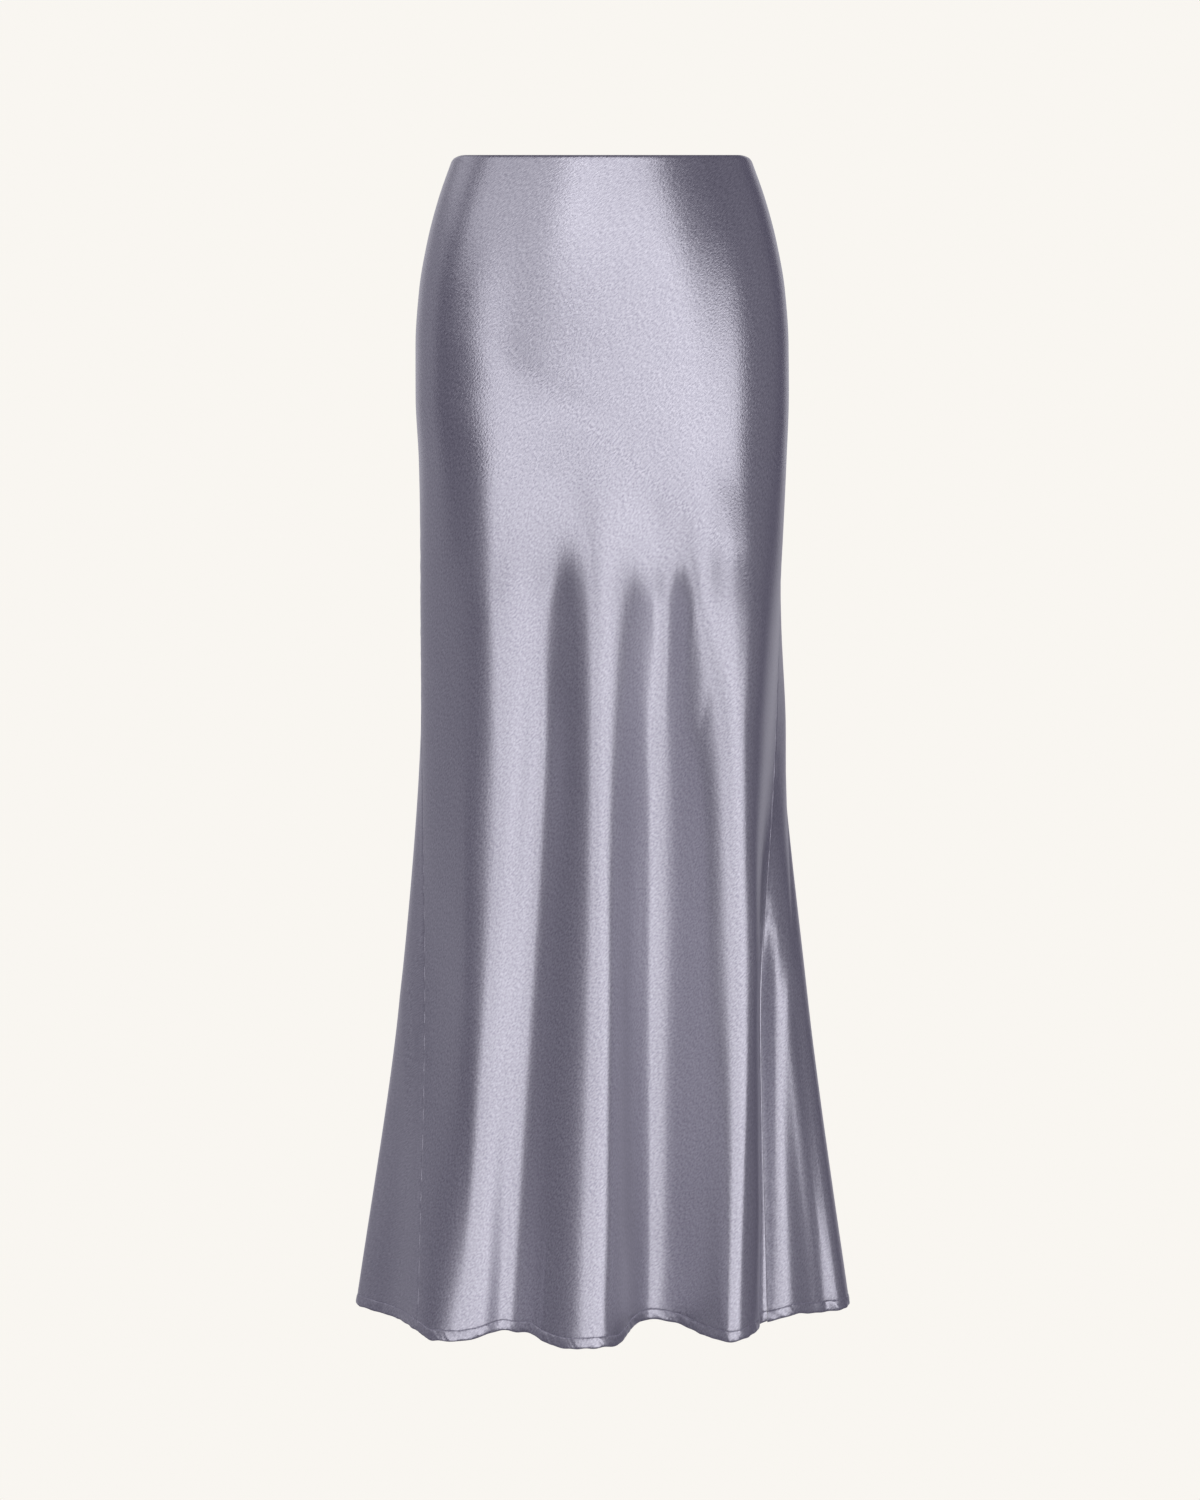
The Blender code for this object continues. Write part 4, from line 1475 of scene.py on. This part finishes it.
@dataclass
class StitchRow:
    """A row of thread stitches along a line, one to every STITCH_STEPS steps of it."""

    name: str
    line: np.ndarray             # points, one a row
    out: np.ndarray              # the way that a stitch faces at each point
    radius: float = 0.00016
    sides: int = 6
    # Along a stitch: shares of its length, shares of the radius, and metres out of the cloth.
    shares: tuple[float, ...] = (0.04, 0.14, 0.5, 0.86, 0.96)
    swell: tuple[float, ...] = (0.35, 0.85, 1.0, 0.85, 0.35)
    lift: tuple[float, ...] = (-0.000120, 0.0, 0.000055, 0.0, -0.000120)

    def stitch_faces(self) -> list[tuple[int, ...]]:
        """The faces of the first stitch: its sides and its two ends.

        Returns:
            Tuples of point numbers.
        """
        rings, sides = len(self.shares), self.sides
        faces = []
        for ring in range(rings - 1):
            for s in range(sides):
                i, j = ring * sides + s, ring * sides + (s + 1) % sides
                faces.append((i, i + sides, j + sides, j))
        faces.append(tuple(range(sides)))
        faces.append(tuple(range((rings - 1) * sides, rings * sides))[::-1])
        return faces

    def build(self, finish: bpy.types.Material) -> bpy.types.Object:
        """One mesh of all the stitches.

        Args:
            finish: the thread's material.

        Returns:
            The object.
        """
        share, swell, lift = (np.array(v)[:, None] for v in (self.shares, self.swell, self.lift))
        turns = 2 * math.pi * np.arange(self.sides) / self.sides
        firsts = range(0, len(self.line) - STITCH_STEPS, STITCH_STEPS)
        points, place = [], []
        for first in firsts:
            a, b = self.line[first], self.line[first + STITCH_STEPS]
            middle, out = (v[first + STITCH_STEPS // 2] for v in (self.line, self.out))
            side = np.cross((b - a) / np.linalg.norm(b - a), out)
            bow = (middle - (a + b) / 2) * 4 * share * (1 - share)
            centre = a + (b - a) * share + bow + out * lift
            ring = np.cos(turns)[:, None] * out + np.sin(turns)[:, None] * side
            points.append(centre[:, None] + self.radius * swell[..., None] * ring)
            spots = np.broadcast_arrays(first + share, turns * self.radius)
            place.append(np.stack(spots, axis=-1))
        size = len(self.shares) * self.sides
        pattern = self.stitch_faces()
        faces = [tuple(k * size + i for i in face) for k in range(len(firsts)) for face in pattern]
        made = new_object(self.name, np.concatenate(points).reshape(-1, 3), faces, [finish])
        mark_place(made, np.concatenate(place).reshape(-1, 2))
        return made


class TapeSide(Enum):
    """Which panel a tape of the zip is sewn to."""

    FRONT = -1.0
    BACK = 1.0

    def name_of(self, piece: str) -> str:
        """The name of one of this side's pieces."""
        return f"zip_{piece}_{self.name.lower()}"


@dataclass(frozen=True)
class ZipCoil:
    """A closed coil: a flattened helix whose heads lie between the other's."""

    end: float = -0.1920         # height of its lower end
    middle: float = 0.00085      # from the seam to its axis
    reach: float = 0.00125       # from its axis to its heads
    depth: float = 0.00062       # half of its own depth
    wire: float = 0.00028
    wire_run: float = 0.004      # filament in a turn
    pitch: float = 0.00120
    steps: int = 10              # rings to a turn
    corners: int = 5


@dataclass
class ConcealedZip:
    """Both tapes of the closed zip behind the side seam, their coils and their stitches."""

    seam: float                  # station number of the seam
    coil: ZipCoil = ZipCoil()
    depth: float = 0.0018        # from the cloth's face to the tapes' outer side
    top: float = -0.0065
    end: float = -0.1950
    tape_half: float = 0.0120    # from the seam to a tape's outer edge
    tape_thick: float = 0.0007
    joined: float = 0.0003       # from the seam to a tape's inner edge
    joined_from: float = -0.0190
    parted: float = 0.0040       # the same round the slider
    parted_to: float = -0.0172
    top_row: float = 0.004       # from the first row to the second
    fork_rows: int = 7           # rows where the tapes part, and a little above and below
    fork_more: float = 0.001
    body_from: float = -0.0230
    body_rows: int = 120
    # Shares of a tape's width, and of its thickness there.
    across: tuple[float, ...] = (0.0, 0.05, 0.18, 0.36, 0.6, 0.86, 0.95, 1.0)
    woven: tuple[float, ...] = (1.25, 1.25, 1.0, 0.8, 0.8, 0.85, 1.0, 0.9)
    ripple: float = 0.00010      # of the tape's outer edge
    ripple_length: float = 0.017
    ripple_lean: float = 0.5
    ripple_seed: float = 3.0
    stitch: float = 0.0026
    stitch_line: float = 0.0052  # from the seam
    stitch_room: float = 0.003   # from the tape's ends
    stitch_wander: float = 0.0002
    wander_length: float = 0.05
    wander_seed: float = 2.0
    stitch_depth: float = 0.85   # share of the tape's thickness

    def inner_edge(self, height: np.ndarray) -> np.ndarray:
        """How far the tapes' inner edges are from the seam at each height."""
        share = smooth_step((height - self.joined_from) / (self.parted_to - self.joined_from))
        return self.joined + (self.parted - self.joined) * share

    def build_tape(self, form: SkirtForm, wardrobe: Wardrobe, side: TapeSide) -> bpy.types.Object:
        """One tape, with its woven edge thicker than its middle.

        Args:
            form: the skirt's form.
            wardrobe: the finishes.
            side: which tape.

        Returns:
            The tape.
        """
        fork = np.linspace(self.parted_to + self.fork_more, self.joined_from - self.fork_more, self.fork_rows)
        body = np.linspace(self.body_from, self.end, self.body_rows)
        height = np.concatenate([[self.top, self.top - self.top_row], fork, body])[:, None]
        share, inner = np.array(self.across), self.inner_edge(height)
        reach = inner + share * (self.tape_half - inner)
        patch = strip_patch(form, self.seam, side.value * reach, height[:, 0])
        seed = self.ripple_seed + side.value
        wave = uneven_wave(height + reach * self.ripple_lean, self.ripple_length, seed)
        outer = patch.moved(self.ripple * wave * share - self.depth)
        thick = self.tape_thick * np.array(self.woven)
        under = outer - patch.out * thick[None, :, None]
        spots = np.stack([reach, np.broadcast_to(height, reach.shape)], axis=-1)
        if side is TapeSide.FRONT:
            outer, under, spots = outer[:, ::-1], under[:, ::-1], spots[:, ::-1]
        return sewn_in(shell(side.name_of("tape"), outer, under, spots, wardrobe.tape, wardrobe.tape))

    def build_coil(self, form: SkirtForm, wardrobe: Wardrobe, side: TapeSide) -> bpy.types.Object:
        """One coil, on the inner side of its tape.

        Args:
            form: the skirt's form.
            wardrobe: the finishes.
            side: which tape's coil.

        Returns:
            The coil.
        """
        coil = self.coil
        turns = int((self.joined_from - coil.end) / coil.pitch)
        turn = np.arange(turns * coil.steps + 1) / coil.steps
        start = self.joined_from - (0.5 * coil.pitch if side is TapeSide.BACK else 0.0)
        height = start - coil.pitch * turn
        wide = side.value * (coil.middle - coil.reach * np.cos(2 * np.pi * turn))
        deep = self.depth + self.tape_thick + coil.depth + coil.wire
        deep = deep + coil.depth * np.sin(2 * np.pi * turn)
        patch = strip_patch(form, self.seam, wide[:, None], height)
        line = patch.moved(-deep[:, None])[:, 0]
        run = np.gradient(line, axis=0)
        run /= np.linalg.norm(run, axis=1, keepdims=True)
        side_way = np.cross(run, patch.out[:, 0])
        side_way /= np.linalg.norm(side_way, axis=1, keepdims=True)
        up_way = np.cross(side_way, run)
        angle = 2 * np.pi * np.arange(coil.corners) / coil.corners
        ring = np.cos(angle)[:, None] * side_way[:, None] + np.sin(angle)[:, None] * up_way[:, None]
        rings = line[:, None] + coil.wire * ring
        spots = np.broadcast_arrays(angle * coil.wire, turn[:, None] * coil.wire_run)
        made = tube(side.name_of("coil"), rings, np.stack(spots, axis=-1), wardrobe.coil)
        return sewn_in(made)

    def build_stitches(self, form: SkirtForm, wardrobe: Wardrobe, side: TapeSide) -> bpy.types.Object:
        """The row of stitches that sews one tape to the seam allowance.

        Args:
            form: the skirt's form.
            wardrobe: the finishes.
            side: which tape.

        Returns:
            The stitches.
        """
        first, last = self.top - self.stitch_room, self.end + self.stitch_room
        height = np.arange(first, last, -self.stitch / STITCH_STEPS)
        wander = uneven_wave(height, self.wander_length, self.wander_seed + side.value)
        line = self.stitch_line + self.stitch_wander * wander
        patch = strip_patch(form, self.seam, side.value * line[:, None], height)
        depth = self.depth + self.stitch_depth * self.tape_thick
        points = patch.moved(np.full(patch.place.shape, -depth))[:, 0]
        row = StitchRow(side.name_of("stitches"), points, -patch.out[:, 0])
        return sewn_in(row.build(wardrobe.thread))

    def build(self, form: SkirtForm, wardrobe: Wardrobe) -> list[bpy.types.Object]:
        """Builds both halves.

        Args:
            form: the skirt's form.
            wardrobe: the finishes.

        Returns:
            The tapes, coils and stitches.
        """
        kinds = (self.build_tape, self.build_coil, self.build_stitches)
        pieces = [build(form, wardrobe, side) for side in TapeSide for build in kinds]
        for piece in pieces:
            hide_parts("zip_tape")
        return pieces


@dataclass(frozen=True)
class ZipMetal:
    """The slider and its pull, kept as the solids imported from model.glb."""

    nodes: tuple[str, ...] = ("zip_slider", "zip_pull")

    def dress(self, finish: bpy.types.Material) -> None:
        """Paints them.

        Args:
            finish: the metal's material.
        """
        for node in self.nodes:
            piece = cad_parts[node]
            piece.data.materials.clear()
            piece.data.materials.append(finish)
            LOG.info("%s: %d faces", node, len(piece.data.polygons))


# --------------------------------------------------------------------- camera and studio
@dataclass(frozen=True)
class ViewPoint:
    """The camera: level with the waist and tilted down to the hem."""

    distance: float = 5.0
    aside: float = -0.0013       # its x
    focal_px: float = 5815.0     # focal length, for a frame of FRAME_HEIGHT_PX
    horizon_px: float = 155.0    # how far below the frame's top the waist's level is
    clip: float = 100.0

    def build(self) -> bpy.types.Object:
        """Makes it the scene's camera.

        Returns:
            The camera's object.
        """
        camera = bpy.data.cameras.new("front_view")
        camera.lens = self.focal_px * camera.sensor_width / FRAME_HEIGHT_PX
        camera.clip_end = self.clip
        made = bpy.data.objects.new("front_view", camera)
        made.location = (self.aside, -self.distance, 0.0)
        tilt = math.atan((FRAME_HEIGHT_PX / 2 - self.horizon_px) / self.focal_px)
        made.rotation_euler = (math.pi / 2 - tilt, 0.0, 0.0)
        bpy.context.scene.collection.objects.link(made)
        bpy.context.scene.camera = made
        return made


@dataclass(frozen=True)
class SoftBox:
    """A large, upright soft light that faces the skirt's middle line."""

    name: str
    bearing: float               # degrees from the front, towards +X
    height: float
    size: tuple[float, float]
    glow: float                  # watts to a square metre and steradian
    distance: float = 4.5
    colour: Colour = (1.0, 1.0, 1.0)

    def build(self) -> bpy.types.Object:
        """Places the light.

        Returns:
            Its object.
        """
        light = bpy.data.lights.new(self.name, "AREA")
        light.shape = "RECTANGLE"
        light.size, light.size_y = self.size
        light.energy = self.glow * math.pi * self.size[0] * self.size[1]
        light.color = self.colour
        made = bpy.data.objects.new(self.name, light)
        turn = math.radians(self.bearing)
        made.location = (self.distance * math.sin(turn), -self.distance * math.cos(turn), self.height)
        made.rotation_euler = (math.pi / 2, 0.0, turn)
        bpy.context.scene.collection.objects.link(made)
        return made


@dataclass
class Studio:
    """Pale floor and surround, and soft light mostly from the front."""

    cream: Colour = (0.947, 0.922, 0.879)    # what the camera sees behind the skirt
    fill: Colour = (0.136, 0.125, 0.184)     # what lights the skirt from all round
    floor_height: float = -1.13
    floor_half: float = 30.0
    boxes: tuple[SoftBox, ...] = (
        # name, bearing, height, size and glow
        SoftBox("front_box", 8.75, -1.25, (2.20, 3.6), 1.55),
        SoftBox("low_left_box", -21.5, -1.525, (2.67, 3.05), 1.60),
        SoftBox("left_box", -46.5, -1.25, (1.34, 3.6), 1.68),
        SoftBox("right_box", 44.5, -1.15, (3.6, 3.8), 1.75),
        SoftBox("high_box", 7.5, 2.03, (4.1, 2.96), 1.70),
        SoftBox("high_left_box", -35.0, 1.93, (4.20, 3.16), 0.90),
        SoftBox("high_far_left_box", -71.5, 2.20, (1.83, 2.60), 0.98),
        SoftBox("high_side_box", -115.0, 2.40, (3.6, 2.4), 0.45),
        SoftBox("side_box", -126.0, 0.0, (3.5, 5.0), 0.24),
        SoftBox("right_side_box", 101.0, 0.0, (3.4, 5.0), 0.08),
        SoftBox("back_box", 180.0, 0.0, (5.6, 5.0), 0.50),
    )

    def build_floor(self) -> bpy.types.Object:
        """A plain floor of the surround's colour, seen from above only and casting nothing.

        Returns:
            The floor.
        """
        half, low = self.floor_half, self.floor_height
        corners = np.array([(-half, -half, low), (half, -half, low), (half, half, low), (-half, half, low)])
        finish = bpy.data.materials.new("pale_floor")
        finish.use_nodes = True
        wiring = Wiring(finish.node_tree)
        finish.node_tree.nodes.remove(finish.node_tree.nodes["Principled BSDF"])
        above, by_side = wiring.node("Emission"), wiring.node("MixShader")
        above.inputs["Color"].default_value = (*self.cream, 1.0)
        wiring.join(wiring.node("NewGeometry").outputs["Backfacing"], by_side.inputs[0])
        wiring.join(above.outputs[0], by_side.inputs[1])
        wiring.join(wiring.node("BsdfTransparent").outputs[0], by_side.inputs[2])
        wiring.join(by_side.outputs[0], finish.node_tree.nodes["Material Output"].inputs["Surface"])
        made = new_object("floor", corners, [(0, 1, 2, 3)], [finish])
        made.visible_diffuse = made.visible_glossy = made.visible_shadow = False
        return made

    def build_surround(self) -> None:
        """The even surround: cream to the eye, a weak fill to the cloth."""
        world = bpy.data.worlds.new("surround")
        world.use_nodes = True
        bpy.context.scene.world = world
        wiring = Wiring(world.node_tree)
        seen = wiring.node("LightPath").outputs["Is Camera Ray"]
        glow = wiring.mix(seen, self.fill, self.cream)
        wiring.join(glow, world.node_tree.nodes["Background"].inputs["Color"])

    def build(self) -> None:
        """Builds the floor, the surround and the lights."""
        self.build_floor()
        self.build_surround()
        for box in self.boxes:
            box.build()
        bpy.context.scene.view_settings.view_transform = "Standard"


def main() -> None:
    """Builds the camera, the studio and every piece of the skirt."""
    ViewPoint().build()
    Studio().build()
    wardrobe = Wardrobe()
    form = SkirtForm()
    front = ClothPanel(
        "front_panel", LINE["seam_left"], LINE["seam_right"], columns=184, hem_columns=560,
        flat=(0.51, 1.02), flat_area=0.485, zip_edge=SideSeam.LAST,
        creases=FRONT_CREASES, sags=FRONT_SAGS, seed=1.0, lap=-0.00070,
    )
    back = ClothPanel(
        "back_panel", LINE["seam_right"], LINE["seam_left_again"], columns=204, hem_columns=860,
        flat=(1.05, 1.02), flat_area=0.60, zip_edge=SideSeam.FIRST,
        creases=BACK_CREASES, sags=BACK_SAGS, seed=2.0, lap=0.00072,
    )
    for part in (front, back, ConcealedZip(LINE["seam_right"])):
        for piece in part.build(form, wardrobe):
            LOG.info("%s: %d faces", piece.name, len(piece.data.polygons))
    ZipMetal().dress(wardrobe.zinc)


if __name__ == "__main__":
    main()
